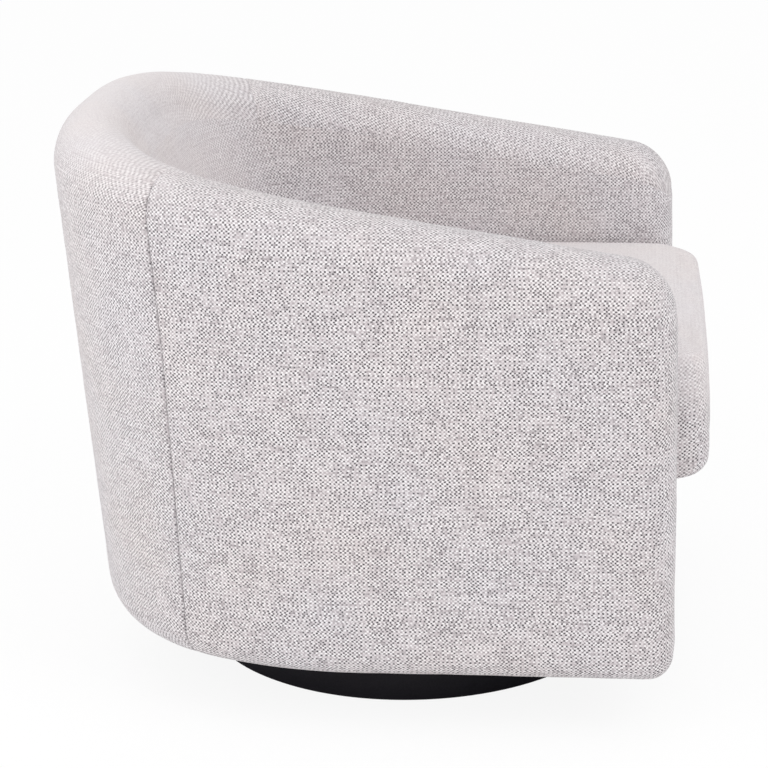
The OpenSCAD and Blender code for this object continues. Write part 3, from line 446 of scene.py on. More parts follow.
armThread = -0.301   # the upright thread from which the weave of an arm is counted
armLeft = wallCover("armUpholsteryLeft", armStations(), True, armThread)
armRight = wallCover("armUpholsteryRight", armStations(), True, armThread, mirrored=True)
backPanel = wallCover("backUpholstery", backStations(), False, 90)
for cover in (armLeft, armRight, backPanel):
    dressCover(cover)
    addSolidify(cover, 0.0024)
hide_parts("arm_cover_left", "arm_foam_left")
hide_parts("arm_cover_right", "arm_foam_right")
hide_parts("back_cover", "back_foam")
print("wall covers made")

# seat cushion: swelled by cloth simulation from a slightly smaller block
cushion = {
    "low": 0.2882, "edgeTop": 0.4442, "reach": 0.377, "bow": 0.003, "swell": 0.010,
    "cornerRound": 0.045, "lowRound": 0.022, "topRound": 0.014, "crown": 0.009,
    "gap": 0.001, "inset": 0.001, "side": 0.263, "sideFrom": -0.301, "middleY": -0.1365,
    "pressure": 4, "frames": 20, "capAcross": 0.0018, "capUp": 0.0055, "frontLimit": -0.3930,
    "lift": 0.0085, "liftFrom": 0.387, "liftOver": 0.075, "highFrom": 0.39, "highOver": 0.055,
}
# how far the side swells, from its foot to its top
swellParts = ((0.2, 1), (0.3, 0.95), (0.4, 0.86), (0.51, 0.77), (0.62, 0.68), (0.72, 0.6), (0.82, 0.52))
topSwell = 0.45


def cushionHalf(z, inset, swell):
    c = cushion
    middle = c["side"] - c["gap"] - c["cornerRound"]
    points = []
    for i in range(16):
        share = i / 16
        points.append((middle * share, inset - swell - c["reach"] - c["bow"] * (1 - share ** 2)))
    for a in spread(0, 90, 10):
        points.append((middle + (c["cornerRound"] - inset) * sin(radians(a)),
                       c["cornerRound"] - c["reach"]
                       - (c["cornerRound"] - inset + swell) * cos(radians(a))))
    for t in spread(c["sideFrom"], 0, 26)[1:] + spread(0, 90, 44)[1:]:
        p = wallPoint(t, wall["thick"] + c["gap"] + inset, z, True)
        points.append((p.x, p.y))
    return points


def cushionRing(z, inset, swell):
    half = cushionHalf(z, inset, swell)
    ring = [Vector((x, y, z)) for x, y in half]
    return ring + [Vector((-x, y, z)) for x, y in half[-2:0:-1]]


def cushionRings(shrink):
    c = cushion
    low, high, r = c["low"] + 0.0005, c["edgeTop"] - shrink * 0.7, c["lowRound"]
    rings = []
    bottom = cushionRing(low, r + shrink, 0)
    for share in (0.1, 0.32, 0.55, 0.75, 0.9):
        rings.append([Vector((p.x * share, c["middleY"] + (p.y - c["middleY"]) * share, low))
                      for p in bottom])
    for a in spread(0, 75, 5):
        rings.append(cushionRing(low + r * (1 - cos(radians(a))),
                                 shrink + r * (1 - sin(radians(a))), c["swell"] * sin(radians(a))))
    for share, part in swellParts:
        rings.append(cushionRing(low + (high - low) * share, shrink, c["swell"] * part))
    r = c["topRound"]
    for a in spread(75, 0, 5):
        rings.append(cushionRing(high - r * (1 - cos(radians(a))), shrink + r * (1 - sin(radians(a))),
                                 c["swell"] * topSwell))
    top = cushionRing(high, r + shrink, c["swell"] * topSwell)
    for share in (0.9, 0.75, 0.55, 0.32, 0.1):
        rings.append([Vector((p.x * share, c["middleY"] + (p.y - c["middleY"]) * share,
                              high + c["crown"] * (1 - share * share))) for p in top])
    return rings


def closedRings(rings):
    verts = [p for ring in rings for p in ring]
    width = len(rings[0])
    faces = [list(range(width))[::-1]]
    for i in range(len(rings) - 1):
        for k in range(width):
            faces.append(gridFace(width, i, k, (k + 1) % width))
    faces.append([(len(rings) - 1) * width + k for k in range(width)])
    return verts, faces


def voxelCopy(obj, size):
    mod = obj.modifiers.new("voxel", "REMESH")
    mod.mode = "VOXEL"
    mod.voxel_size = size
    return bakeModifiers(obj)


def bakeModifiers(obj):
    graph = bpy.context.evaluated_depsgraph_get()
    made = bpy.data.meshes.new_from_object(obj.evaluated_get(graph))
    obj.modifiers.clear()
    old = obj.data
    obj.data = made
    bpy.data.meshes.remove(old)
    return obj


def vertexArray(mesh, field):
    values = np.empty(len(mesh.vertices) * 3)
    mesh.vertices.foreach_get(field, values)
    return values.reshape(-1, 3)


def makeCushion():
    c = cushion
    verts, faces = closedRings(cushionRings(c["inset"]))
    obj = meshObject("seatCushion", verts, faces, "tub")
    turnOutward(obj)
    voxelCopy(obj, 0.006)
    mesh = obj.data
    start, normals = vertexArray(mesh, "co"), vertexArray(mesh, "normal")
    cloth = obj.modifiers.new("swell", "CLOTH")
    cloth.settings.use_pressure = True
    cloth.settings.uniform_pressure_force = c["pressure"]
    cloth.settings.quality = 3
    cloth.settings.effector_weights.gravity = 0
    cloth.point_cache.frame_start = 1
    cloth.point_cache.frame_end = c["frames"]
    scene = bpy.context.scene
    for f in range(1, c["frames"] + 1):
        scene.frame_set(f)
    bakeModifiers(obj)
    scene.frame_set(1)
    mesh = obj.data
    step = vertexArray(mesh, "co") - start
    out = np.einsum("ij,ij->i", step, normals)
    step -= np.minimum(out, 0)[:, None] * normals   # swells, but doesn't draw in
    across = np.linalg.norm(step[:, :2], axis=1)
    keep = c["capAcross"] * np.tanh(across / c["capAcross"]) / np.maximum(across, 1e-9)
    step[:, :2] *= keep[:, None]
    step[:, 2] = c["capUp"] * np.tanh(step[:, 2] / c["capUp"])
    end = start + step
    # behind its front edge the top stands a little higher, squeezed between the arms
    behind = np.clip((end[:, 1] + c["liftFrom"]) / c["liftOver"], 0, 1)
    high = np.clip((end[:, 2] - c["highFrom"]) / c["highOver"], 0, 1)
    end[:, 2] += c["lift"] * behind * behind * (3 - 2 * behind) * high
    # flat where it rests, clear of the arms and of the back
    end[:, 2] = np.maximum(end[:, 2], c["low"] + 0.0003)
    end[:, 0] = np.clip(end[:, 0], -c["side"] + 0.0008, c["side"] - 0.0008)
    end[:, 1] = np.maximum(end[:, 1], c["frontLimit"])
    mesh.vertices.foreach_set("co", end.ravel())
    mesh.update()
    return obj


seatCushion = makeCushion()
addSubsurf(seatCushion, 1)
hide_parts("seat_cushion", "cushion_core")
print("seat cushion made:", len(seatCushion.data.vertices))

# upholstered border under the front of the cushion
border = {
    "half": 0.2634, "face": 0.332, "rear": 0.3164, "under": 0.3105,
    "low": 0.074, "high": 0.2879, "round": 0.009,
}


def makeBorder():
    b = border
    profile = [(-b["rear"], b["high"])]
    for a in spread(0, 90, 6):
        profile.append((-b["face"] + b["round"] * (1 - sin(radians(a))),
                        b["high"] - b["round"] * (1 - cos(radians(a)))))
    for z in spread(b["high"] - b["round"], b["low"] + b["round"], 22)[1:-1]:
        profile.append((-b["face"], z))
    for a in spread(90, 0, 6):
        profile.append((-b["face"] + b["round"] * (1 - sin(radians(a))),
                        b["low"] + b["round"] * (1 - cos(radians(a)))))
    profile.append((-b["under"], b["low"]))
    xs = spread(-b["half"], b["half"], 70)
    rows = [[Vector((x, y, z)) for y, z in profile] for x in xs]
    width = len(profile)
    drop = arcLengths(rows[0])
    verts = [p for row in rows for p in row]
    faces, corners = [], []
    for i in range(len(xs) - 1):
        for j in range(width - 1):
            loop = gridFace(width, i, j, j + 1)
            faces.append(loop)
            corners += [(xs[k // width], -drop[k % width]) for k in loop]
    for start in (0, (len(xs) - 1) * width):   # both ends are closed
        loop = list(range(start, start + width))
        faces.append(loop if start else loop[::-1])
        corners += [(verts[k].y, verts[k].z) for k in faces[-1]]
    obj = meshObject("frontBorder", verts, faces, "tub")
    setCornerUV(obj, corners)
    probe = min(obj.data.polygons, key=lambda f: f.center.y)
    if probe.normal.y > 0:
        obj.data.flip_normals()
    for v in obj.data.vertices:
        ends = min(1, (b["half"] - abs(v.co.x)) / 0.03)
        up = (v.co.z - b["low"]) / (b["high"] - b["low"])
        v.co.y -= 0.0035 * sin(pi * min(max(up, 0), 1)) * ends
        v.co += Vector((0, 1, 0)) * 0.0006 * noise.noise(v.co * 12)
    addSolidify(obj, 0.0024)
    return obj


frontBorder = makeBorder()
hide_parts("border_cover", "border_pad")


# flat soft layers: deck pad and cloth, dust cloth, felt, webbing
def seatOutline(z, gap, frontY):
    points = []
    first = frontY - wall["bendStart"]
    for t in spread(first, 0, 20) + spread(0, 90, 40)[1:]:
        p = wallPoint(t, wall["thick"] + gap, z, True)
        points.append((p.x, p.y))
    return points + [(-x, y) for x, y in points[-2::-1]]


def layerFrom(name, outline, low, thick, middle, body, shares,
              edge=0.25, hole=0.0, waves=0.15):
    # a sheet or pad as rings from its edge to its middle, both faces, with a soft edge
    verts, faces = [], []
    width = len(outline)
    top, bottom = [], []
    cx, cy = middle
    levels = [(1.0, edge)] + [(1 - 0.006, 0.0)] + [(s, 0.0) for s in shares]
    for side, store in ((1, top), (-1, bottom)):
        for share, nipIn in levels:
            ring = []
            for x, y in outline:
                if hole and share == levels[-1][0]:
                    a = np.arctan2(y - cy, x - cx)
                    px, py = cx + hole * cos(a), cy + hole * sin(a)
                else:
                    px, py = cx + (x - cx) * share, cy + (y - cy) * share
                wave = waves * thick * noise.noise(Vector((px * 20, py * 20, 3 + low)))
                z = low + thick / 2 + side * thick * (0.5 - nipIn) + wave * (share < 1)
                ring.append(len(verts))
                verts.append(Vector((px, py, z)))
            store.append(ring)
    for store, flip in ((top, False), (bottom, True)):
        for a, b in zip(store, store[1:]):
            for k in range(width):
                n = (k + 1) % width
                loop = [a[k], a[n], b[n], b[k]]
                faces.append(loop[::-1] if flip else loop)
        if not hole:
            faces.append(store[-1][::-1] if flip else store[-1])
    for k in range(width):
        n = (k + 1) % width
        faces.append([top[0][n], top[0][k], bottom[0][k], bottom[0][n]])
        if hole:
            faces.append([top[-1][k], top[-1][n], bottom[-1][n], bottom[-1][k]])
    obj = meshObject(name, verts, faces, body)
    turnOutward(obj)
    return obj


def flatSize(outline, hole=0.0):
    # the cut of a flat sheet: its width and length, and its area without the hole
    xs, ys = [p[0] for p in outline], [p[1] for p in outline]
    pairs = zip(outline, outline[1:] + outline[:1])
    area = abs(sum(a[0] * b[1] - b[0] * a[1] for a, b in pairs)) / 2
    return (max(xs) - min(xs), max(ys) - min(ys)), area - pi * hole * hole


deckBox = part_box("deck_cloth")
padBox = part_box("deck_pad")
steps = (0.97, 0.9, 0.8, 0.65, 0.5, 0.35, 0.2, 0.08)
deckPad = layerFrom("deckPad", seatOutline(padBox[0].z, 0.002, padBox[0].y), padBox[0].z,
                    padBox[1].z - padBox[0].z, (0, -0.09), "tub", steps)
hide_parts("deck_pad")
deckThick = deckBox[1].z - deckBox[0].z
deckOutline = seatOutline(deckBox[0].z, 0.001, -0.2395)
deckCloth = layerFrom("deckCloth", deckOutline, deckBox[0].z, deckThick * 0.6, (0, -0.09),
                      "tub", steps)
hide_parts("deck_cloth")
deckFlat, deckArea = flatSize(deckOutline)

# the front of the deck is a band of the tweed, under the cushion's edge
bandSide = deckBox[1].x - 0.0003
bandFront, bandRear = deckBox[0].y + 0.0002, -0.2400
bandOutline = [(x, bandFront) for x in spread(-bandSide, bandSide, 40)] + \
              [(x, bandRear) for x in spread(bandSide, -bandSide, 40)]
deckBand = layerFrom("deckBand", bandOutline, deckBox[0].z, deckThick * 0.7,
                     (0, (bandFront + bandRear) / 2), "tub", (0.97, 0.8, 0.6, 0.4, 0.2))
setCornerUV(deckBand, [(v.co.x, v.co.y) for v in
                       [deckBand.data.vertices[loop.vertex_index] for loop in deckBand.data.loops]])
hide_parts("deck_cloth")
bandFlat, bandArea = flatSize(bandOutline)

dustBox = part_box("dust_cover")
dustHole = 0.181


def dustOutline(inset=0.0005):
    points = []
    for t in spread(-wall["straight"] + 0.0298 + inset, 0, 24) + spread(0, 90, 50)[1:]:
        p = wallPoint(t, heelRadius(t) + inset, wall["foot"])
        points.append((p.x, p.y))
    return points + [(-x, y) for x, y in points[-2::-1]]


dustCloth = layerFrom("dustCloth", dustOutline(), dustBox[0].z, 0.0008, (0, 0), "tub",
                      (0.985, 0.96, 0.92, 0.86, 0.78, 0.7, 0.6, 0.5), edge=0.1, hole=dustHole)
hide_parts("dust_cover")
dustFlat, dustArea = flatSize(dustOutline(), dustHole)

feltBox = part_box("floor_felt")
feltRing = [(0.268 * cos(radians(a)), 0.268 * sin(radians(a))) for a in range(0, 360, 3)]
floorFelt = layerFrom("floorFelt", feltRing, feltBox[0].z, feltBox[1].z - feltBox[0].z, (0, 0),
                      "base", (0.99, 0.97, 0.9, 0.75, 0.55, 0.35, 0.15), edge=0.15, waves=0)
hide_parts("floor_felt")


def makeWebbing():
    # three straps between the deck and the top rails, under cover, foam and rail
    low = wall["tuck"] + 0.025
    room = wall["armHeight"] - 0.0028 - 0.038 - 0.028 - low
    verts, faces = [], []
    for i in range(3):
        z0 = low + i * room / 3
        z1 = z0 + min(0.050, room / 6)
        for side in (-1, 0, 1):
            if side:
                stations = spread(-0.300, wall["seam"] - 0.6, 70)
            else:
                stations = spread(wall["seam"] + 0.6, 180 - wall["seam"] - 0.6, 110)
            start = len(verts)
            heights = spread(z0, z1, 6)
            section = [(0.0730, z) for z in heights] + [(0.0744, z) for z in heights[::-1]]
            for t in stations:
                for d, z in section:
                    p = wallPoint(t, d, z)
                    verts.append(Vector((p.x * (side or 1), p.y, p.z)))
            width = len(section)
            for r in range(len(stations) - 1):
                for k in range(width):
                    faces.append(gridFace(width, r, k, (k + 1) % width, start))
            for r in (0, len(stations) - 1):
                for k in range(5):
                    faces.append([start + r * width + k, start + r * width + k + 1,
                                  start + r * width + width - 2 - k, start + r * width + width - 1 - k])
    obj = meshObject("webbingStraps", verts, faces, "tub")
    turnOutward(obj)
    return obj


webbing = makeWebbing()
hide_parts("webbing_straps")
print("soft layers made")


# materials
def makeMaterial(name):
    mat = bpy.data.materials.new(name)
    mat.use_nodes = True
    tree = mat.node_tree
    return mat, tree, tree.nodes["Principled BSDF"]


def put(tree, kind, inputs=None, **props):
    node = tree.nodes.new(kind)
    for key, value in props.items():
        setattr(node, key, value)
    for key, value in (inputs or {}).items():
        if isinstance(value, bpy.types.NodeSocket):
            tree.links.new(value, node.inputs[key])
        else:
            node.inputs[key].default_value = value
    return node


def calc(tree, operation, a, b=None, c=None):
    inputs = {0: a}
    if b is not None:
        inputs[1] = b
    if c is not None:
        inputs[2] = c
    return put(tree, "ShaderNodeMath", inputs, operation=operation).outputs[0]


def blendColour(tree, share, a, b, kind="MIX"):
    node = put(tree, "ShaderNodeMix", data_type="RGBA", blend_type=kind)
    for key, value in ((0, share), (6, a), (7, b)):
        if isinstance(value, bpy.types.NodeSocket):
            tree.links.new(value, node.inputs[key])
        else:
            node.inputs[key].default_value = value
    return node.outputs[2]


def clouds(tree, place, scale, detail):
    return put(tree, "ShaderNodeTexNoise", {"Vector": place, "Scale": scale, "Detail": detail}).outputs["Fac"]


def ramp(tree, share, start, end):
    # start and end: a place on the ramp and its colour
    node = put(tree, "ShaderNodeValToRGB", {0: share})
    for stop, (place, colour) in zip(node.color_ramp.elements, (start, end)):
        stop.position = place
        stop.color = (*colour, 1)
    return node.outputs[0]


def weaveGroup():
    group = bpy.data.node_groups.new("tweedWeave", "ShaderNodeTree")
    face = group.interface
    face.new_socket("Cloth", in_out="INPUT", socket_type="NodeSocketVector")
    for name, value in (("Column", 0.0027), ("Row", 0.00237), ("Fleck", 1.0), ("Fade", 0.0)):
        socket = face.new_socket(name, in_out="INPUT", socket_type="NodeSocketFloat")
        socket.default_value = value
    face.new_socket("Colour", in_out="OUTPUT", socket_type="NodeSocketColor")
    face.new_socket("Height", in_out="OUTPUT", socket_type="NodeSocketFloat")
    face.new_socket("Roughness", in_out="OUTPUT", socket_type="NodeSocketFloat")
    t = group
    gin, gout = t.nodes.new("NodeGroupInput"), t.nodes.new("NodeGroupOutput")
    cloth = gin.outputs["Cloth"]
    # yarns wander a little
    wander = put(t, "ShaderNodeTexNoise",
                 {"Vector": cloth, "Scale": 70.0, "Detail": 4.0, "Roughness": 0.65})
    shift = put(t, "ShaderNodeVectorMath", {0: wander.outputs["Color"], 1: (0.5, 0.5, 0.5)},
                operation="SUBTRACT")
    shift = put(t, "ShaderNodeVectorMath", {0: shift.outputs[0], "Scale": 0.0042}, operation="SCALE")
    spot = put(t, "ShaderNodeVectorMath", {0: cloth, 1: shift.outputs[0]}, operation="ADD")
    split = put(t, "ShaderNodeSeparateXYZ", {0: spot.outputs[0]})
    cv = calc(t, "DIVIDE", split.outputs[1], gin.outputs["Row"])
    iv = calc(t, "FLOOR", cv)
    jog = put(t, "ShaderNodeTexWhiteNoise", {"W": iv}, noise_dimensions="1D").outputs["Value"]
    cu = calc(t, "DIVIDE", split.outputs[0], gin.outputs["Column"])
    cu = calc(t, "MULTIPLY_ADD", jog, 0.5, cu)
    iu = calc(t, "FLOOR", cu)
    fu, fv = calc(t, "SUBTRACT", cu, iu), calc(t, "SUBTRACT", cv, iv)
    bumpU = calc(t, "SINE", calc(t, "MULTIPLY", fu, pi))
    bumpV = calc(t, "SINE", calc(t, "MULTIPLY", fv, pi))
    parity = calc(t, "FLOORED_MODULO", calc(t, "ADD", iu, iv), 2.0)   # 0 where the warp is over
    evenColumn = calc(t, "SUBTRACT", 1.0, calc(t, "FLOORED_MODULO", iu, 2.0))
    oddRow = calc(t, "FLOORED_MODULO", iv, 2.0)
    warpOver = calc(t, "SUBTRACT", 1.0, parity)
    warpHigh = calc(t, "MULTIPLY", bumpU, calc(t, "MULTIPLY_ADD", bumpV, 0.5, 0.5))
    weftHigh = calc(t, "MULTIPLY", bumpV, calc(t, "MULTIPLY_ADD", bumpU, 0.5, 0.5))
    height = calc(t, "ADD", calc(t, "MULTIPLY", warpHigh, warpOver), calc(t, "MULTIPLY", weftHigh, parity))
    # random numbers for each crossing, and slow changes along the yarns
    cell = put(t, "ShaderNodeCombineXYZ", {0: iu, 1: iv, 2: 0.0})
    dice = put(t, "ShaderNodeTexWhiteNoise", {"Vector": cell.outputs[0]}, noise_dimensions="3D")
    dice = put(t, "ShaderNodeSeparateXYZ", {0: dice.outputs["Color"]})
    chance, light = dice.outputs[0], dice.outputs[1]
    run = put(t, "ShaderNodeVectorMath", {0: cloth, 1: (260.0, 22.0, 0.0)}, operation="MULTIPLY")
    slub = clouds(t, run.outputs[0], 1.0, 3.0)
    pick = put(t, "ShaderNodeVectorMath", {0: cloth, 1: (26.0, 230.0, 0.0)}, operation="MULTIPLY")
    band = clouds(t, pick.outputs[0], 1.0, 3.0)
    patch = clouds(t, cloth, 30.0, 3.0)
    fibre = clouds(t, cloth, 700.0, 2.0)
    live = calc(t, "SUBTRACT", 1.0, gin.outputs["Fade"])
    # the weft is pale, the warp greyer, with charcoal where it comes up in every second column
    warpTone = calc(t, "MULTIPLY_ADD", chance, 0.45, calc(t, "MULTIPLY_ADD", slub, 0.9, -0.18))
    warp = ramp(t, warpTone, (0.3, (0.52, 0.47, 0.49)), (0.75, (0.86, 0.81, 0.825)))
    weftTone = calc(t, "MULTIPLY_ADD", light, 0.45, calc(t, "MULTIPLY_ADD", band, 1.3, -0.38))
    weftTone = calc(t, "MULTIPLY_ADD", oddRow, 0.06, weftTone)
    weft = ramp(t, weftTone, (0.15, (0.66, 0.61, 0.63)), (0.7, (0.97, 0.95, 0.96)))
    # in the odd rows the warp that comes up is nearly as pale as the weft
    palest = calc(t, "MAXIMUM", parity, calc(t, "MULTIPLY", oddRow, 0.2))
    colour = blendColour(t, palest, warp, weft)
    # painted shade in the hollows between the yarns
    gapShade = calc(t, "SUBTRACT", 1.0, calc(t, "MINIMUM", calc(t, "MULTIPLY", height, 2.4), 1.0))
    gapShade = calc(t, "MULTIPLY", calc(t, "MULTIPLY", gapShade, 0.35), live)
    colour = blendColour(t, gapShade, colour, (0.34, 0.30, 0.315, 1))
    fourth = calc(t, "LESS_THAN", calc(t, "FLOORED_MODULO", iu, 4.0), 0.5)
    strength = calc(t, "MULTIPLY_ADD", patch, 1.8, -2.93)
    for part, weight in ((slub, 2.0), (band, 1.0), (chance, 1.9), (fourth, 0.2), (evenColumn, 0.55)):
        strength = calc(t, "MULTIPLY_ADD", part, weight, strength)
    strength = put(t, "ShaderNodeClamp", {0: strength}).outputs[0]
    dot = calc(t, "POWER", calc(t, "MULTIPLY", bumpU, bumpV), 0.4)
    stray = calc(t, "MULTIPLY", calc(t, "LESS_THAN", light, 0.06), 0.35)   # and here and there any yarn
    dark = calc(t, "MULTIPLY", calc(t, "MAXIMUM", calc(t, "MULTIPLY", warpOver, strength), stray), dot)
    dark = calc(t, "MULTIPLY", calc(t, "MULTIPLY", dark, gin.outputs["Fleck"]), live)
    colour = blendColour(t, dark, colour, (0.030, 0.027, 0.036, 1))
    # painted highlight: the cloth is blended towards a pale tone as far as its mask asks
    colour = blendColour(t, calc(t, "MULTIPLY", gin.outputs["Fade"], 0.85), colour, (0.84, 0.795, 0.80, 1))
    fibre = calc(t, "MULTIPLY_ADD", fibre, 1.8, -0.45)
    colour = blendColour(t, fibre, colour, (0.76, 0.74, 0.75, 1), "MULTIPLY")
    tint = ramp(t, clouds(t, cloth, 7.0, 2.0), (0.3, (0.985, 0.995, 1.0)), (0.7, (1.0, 0.985, 0.965)))
    colour = blendColour(t, 1.0, colour, tint, "MULTIPLY")
    t.links.new(colour, gout.inputs["Colour"])
    fuzz = clouds(t, cloth, 2600.0, 2.0)
    relief = calc(t, "MULTIPLY", height, calc(t, "MULTIPLY_ADD", gin.outputs["Fade"], -0.7, 1.0))
    t.links.new(calc(t, "MULTIPLY_ADD", fuzz, 0.25, relief), gout.inputs["Height"])
    t.links.new(calc(t, "MULTIPLY_ADD", chance, 0.12, 0.80), gout.inputs["Roughness"])
    return group


tweedWeave = weaveGroup()


def tweedMaterial(name, uvName):
    mat, tree, shader = makeMaterial(name)
    cloth = put(tree, "ShaderNodeUVMap", uv_map=uvName).outputs[0]
    # painted highlight: paler, the flecks nearly gone, where the cloth faces up and to the rear
    paintedHighlight = put(tree, "ShaderNodeAttribute", attribute_name="paintedHighlight").outputs["Fac"]
    stitchAndCreaseShade = put(tree, "ShaderNodeAttribute", attribute_name="stitchAndCreaseShade").outputs["Fac"]
    weave = put(tree, "ShaderNodeGroup", node_tree=tweedWeave)
    tree.links.new(cloth, weave.inputs["Cloth"])
    tree.links.new(paintedHighlight, weave.inputs["Fade"])
    # the seam line, broken into stitches, is painted dark with the shade of its crease
    stitches = clouds(tree, cloth, 160.0, 1.0)
    shade = calc(tree, "MULTIPLY", stitchAndCreaseShade, calc(tree, "MULTIPLY_ADD", stitches, 1.7, -0.42))
    colour = blendColour(tree, shade, weave.outputs["Colour"], (0.16, 0.14, 0.15, 1))
    tree.links.new(colour, shader.inputs["Base Color"])
    tree.links.new(weave.outputs["Roughness"], shader.inputs["Roughness"])
    bump = put(tree, "ShaderNodeBump",
               {"Height": weave.outputs["Height"], "Strength": 0.3, "Distance": 0.0007})
    tree.links.new(bump.outputs[0], shader.inputs["Normal"])
    shader.inputs["Sheen Weight"].default_value = 0.25
    shader.inputs["Sheen Roughness"].default_value = 0.5
    shader.inputs["Specular IOR Level"].default_value = 0.2
    return mat


clothTweed = tweedMaterial("tweedOnPanels", "cloth")
cushionTweed = tweedMaterial("tweedOnCushion", "cloth")


def cushionCloth(obj):
    # box-mapped cloth coordinates for the remeshed cushion, by the way each face looks
    mesh = obj.data
    coords = []
    for poly in mesh.polygons:
        n = poly.normal
        for k in poly.loop_indices:
            p = mesh.vertices[mesh.loops[k].vertex_index].co
            if abs(n.z) > 0.7:
                coords.append((p.x, p.y))
            elif abs(n.y) >= abs(n.x):
                coords.append((p.x, p.z))
            else:
                coords.append((p.y, p.z))
    setCornerUV(obj, coords)


cushionCloth(seatCushion)
# painted highlight on the cushion: strongest on its top, a little on the upper half of its sides
cushionTop, cushionLow = cushion["edgeTop"], cushion["low"]
paintedHighlight = []
for v in seatCushion.data.vertices:
    up = max(v.normal.z, 0)
    high = min(max((v.co.z - cushionLow) / (cushionTop - cushionLow) - 0.5, 0) / 0.25, 1)
    paintedHighlight.append(0.75 * up + 0.32 * high * (1 - up))
storeValues(seatCushion, "paintedHighlight", paintedHighlight)
for piece in (armLeft, armRight, backPanel, frontBorder, deckBand):
    piece.data.materials.append(clothTweed)
seatCushion.data.materials.append(cushionTweed)


def plainMaterial(name, low, high, scale, roughness, bumpSize,
                  metallic=0.0, stretch=(1, 1, 1), specular=0.5):
    mat, tree, shader = makeMaterial(name)
    place = put(tree, "ShaderNodeTexCoord").outputs["Object"]
    place = put(tree, "ShaderNodeMapping", {"Vector": place, "Scale": stretch}).outputs[0]
    grain = put(tree, "ShaderNodeTexNoise",
                {"Vector": place, "Scale": scale, "Detail": 6.0, "Roughness": 0.6}).outputs["Fac"]
    fine = clouds(tree, place, scale * 7, 3.0)
    tree.links.new(ramp(tree, grain, (0.32, low), (0.68, high)), shader.inputs["Base Color"])
    rough = calc(tree, "MULTIPLY_ADD", fine, 0.1, roughness - 0.05)
    tree.links.new(rough, shader.inputs["Roughness"])
    shader.inputs["Metallic"].default_value = metallic
    shader.inputs["Specular IOR Level"].default_value = specular
    mixed = calc(tree, "MULTIPLY_ADD", fine, 0.6, grain)
    bump = put(tree, "ShaderNodeBump", {"Height": mixed, "Strength": 0.5, "Distance": bumpSize})
    tree.links.new(bump.outputs[0], shader.inputs["Normal"])
    return mat


finishes = {
    "timber": plainMaterial("sawnTimber", (0.42, 0.27, 0.14), (0.66, 0.48, 0.29), 9, 0.65, 0.0006,
                            stretch=(9, 9, 1)),
    "board": plainMaterial("pressedBoard", (0.20, 0.12, 0.07), (0.38, 0.25, 0.15), 160, 0.8, 0.0004),
    "black_finish": plainMaterial("blackPlinth", (0.0045, 0.0038, 0.0065), (0.010, 0.0085, 0.013),
                                  500, 0.46, 0.0001, specular=0.2),
    "black_steel": plainMaterial("blackSteel", (0.012, 0.012, 0.013), (0.030, 0.030, 0.032),
                                 60, 0.45, 0.0002),
    "steel": plainMaterial("platedSteel", (0.50, 0.50, 0.48), (0.68, 0.68, 0.66), 45, 0.32, 0.0001,
                           metallic=1),
    "bronze": plainMaterial("oilBronze", (0.42, 0.26, 0.10), (0.60, 0.40, 0.18), 60, 0.4, 0.0001,
                            metallic=1),
    "felt": plainMaterial("pressedFelt", (0.07, 0.07, 0.07), (0.22, 0.21, 0.21), 700, 0.95, 0.0008),
    "black_cloth": plainMaterial("blackCloth", (0.008, 0.008, 0.009), (0.028, 0.028, 0.030),
                                 900, 0.9, 0.0003),
    "webbing": plainMaterial("juteWebbing", (0.24, 0.16, 0.08), (0.48, 0.36, 0.21), 400, 0.9, 0.0006),
    "foam": plainMaterial("foam", (0.60, 0.55, 0.40), (0.75, 0.70, 0.55), 500, 0.95, 0.0008),
}
for piece, slotName in ((deckPad, "felt"), (deckCloth, "black_cloth"), (dustCloth, "black_cloth"),
                        (floorFelt, "felt"), (webbing, "webbing")):
    piece.data.materials.append(finishes[slotName])

# the four coil springs of the rocker, which give between the turntable and the tub
coil = {"radius": 0.017, "wire": 0.0025, "across": 0.066, "turns": 6, "perTurn": 20, "sides": 8}


def makeSprings():
    c = coil
    low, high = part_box("rocker_springs")
    reach = high.y - c["radius"] - c["wire"]
    bottom, top = low.z + c["wire"], high.z - c["wire"]
    rise = top - bottom
    count = c["turns"] * c["perTurn"]
    verts, faces = [], []
    for cx, cy in ((1, 1), (1, -1), (-1, 1), (-1, -1)):
        centre = Vector((cx * c["across"], cy * reach, bottom))
        first = len(verts)
        for i in range(count + 1):
            a = 2 * pi * i / c["perTurn"]
            out = Vector((cos(a), sin(a), 0))
            along = Vector((-c["radius"] * sin(a), c["radius"] * cos(a), rise / c["turns"] / 2 / pi))
            side = along.normalized().cross(out)
            spot = centre + c["radius"] * out + Vector((0, 0, rise * i / count))
            for k in range(c["sides"]):
                b = 2 * pi * k / c["sides"]
                verts.append(spot + c["wire"] * (out * cos(b) + side * sin(b)))
        n = c["sides"]
        for i in range(count):
            for k in range(n):
                faces.append(gridFace(n, i, k, (k + 1) % n, first))
        faces.append([first + k for k in range(n)][::-1])
        faces.append([first + count * n + k for k in range(n)])
    obj = meshObject("rockerSprings", verts, faces, None)
    turnOutward(obj)
    obj.data.materials.append(finishes["steel"])
    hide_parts("rocker_springs")
    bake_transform(obj)
    return obj


makeSprings()


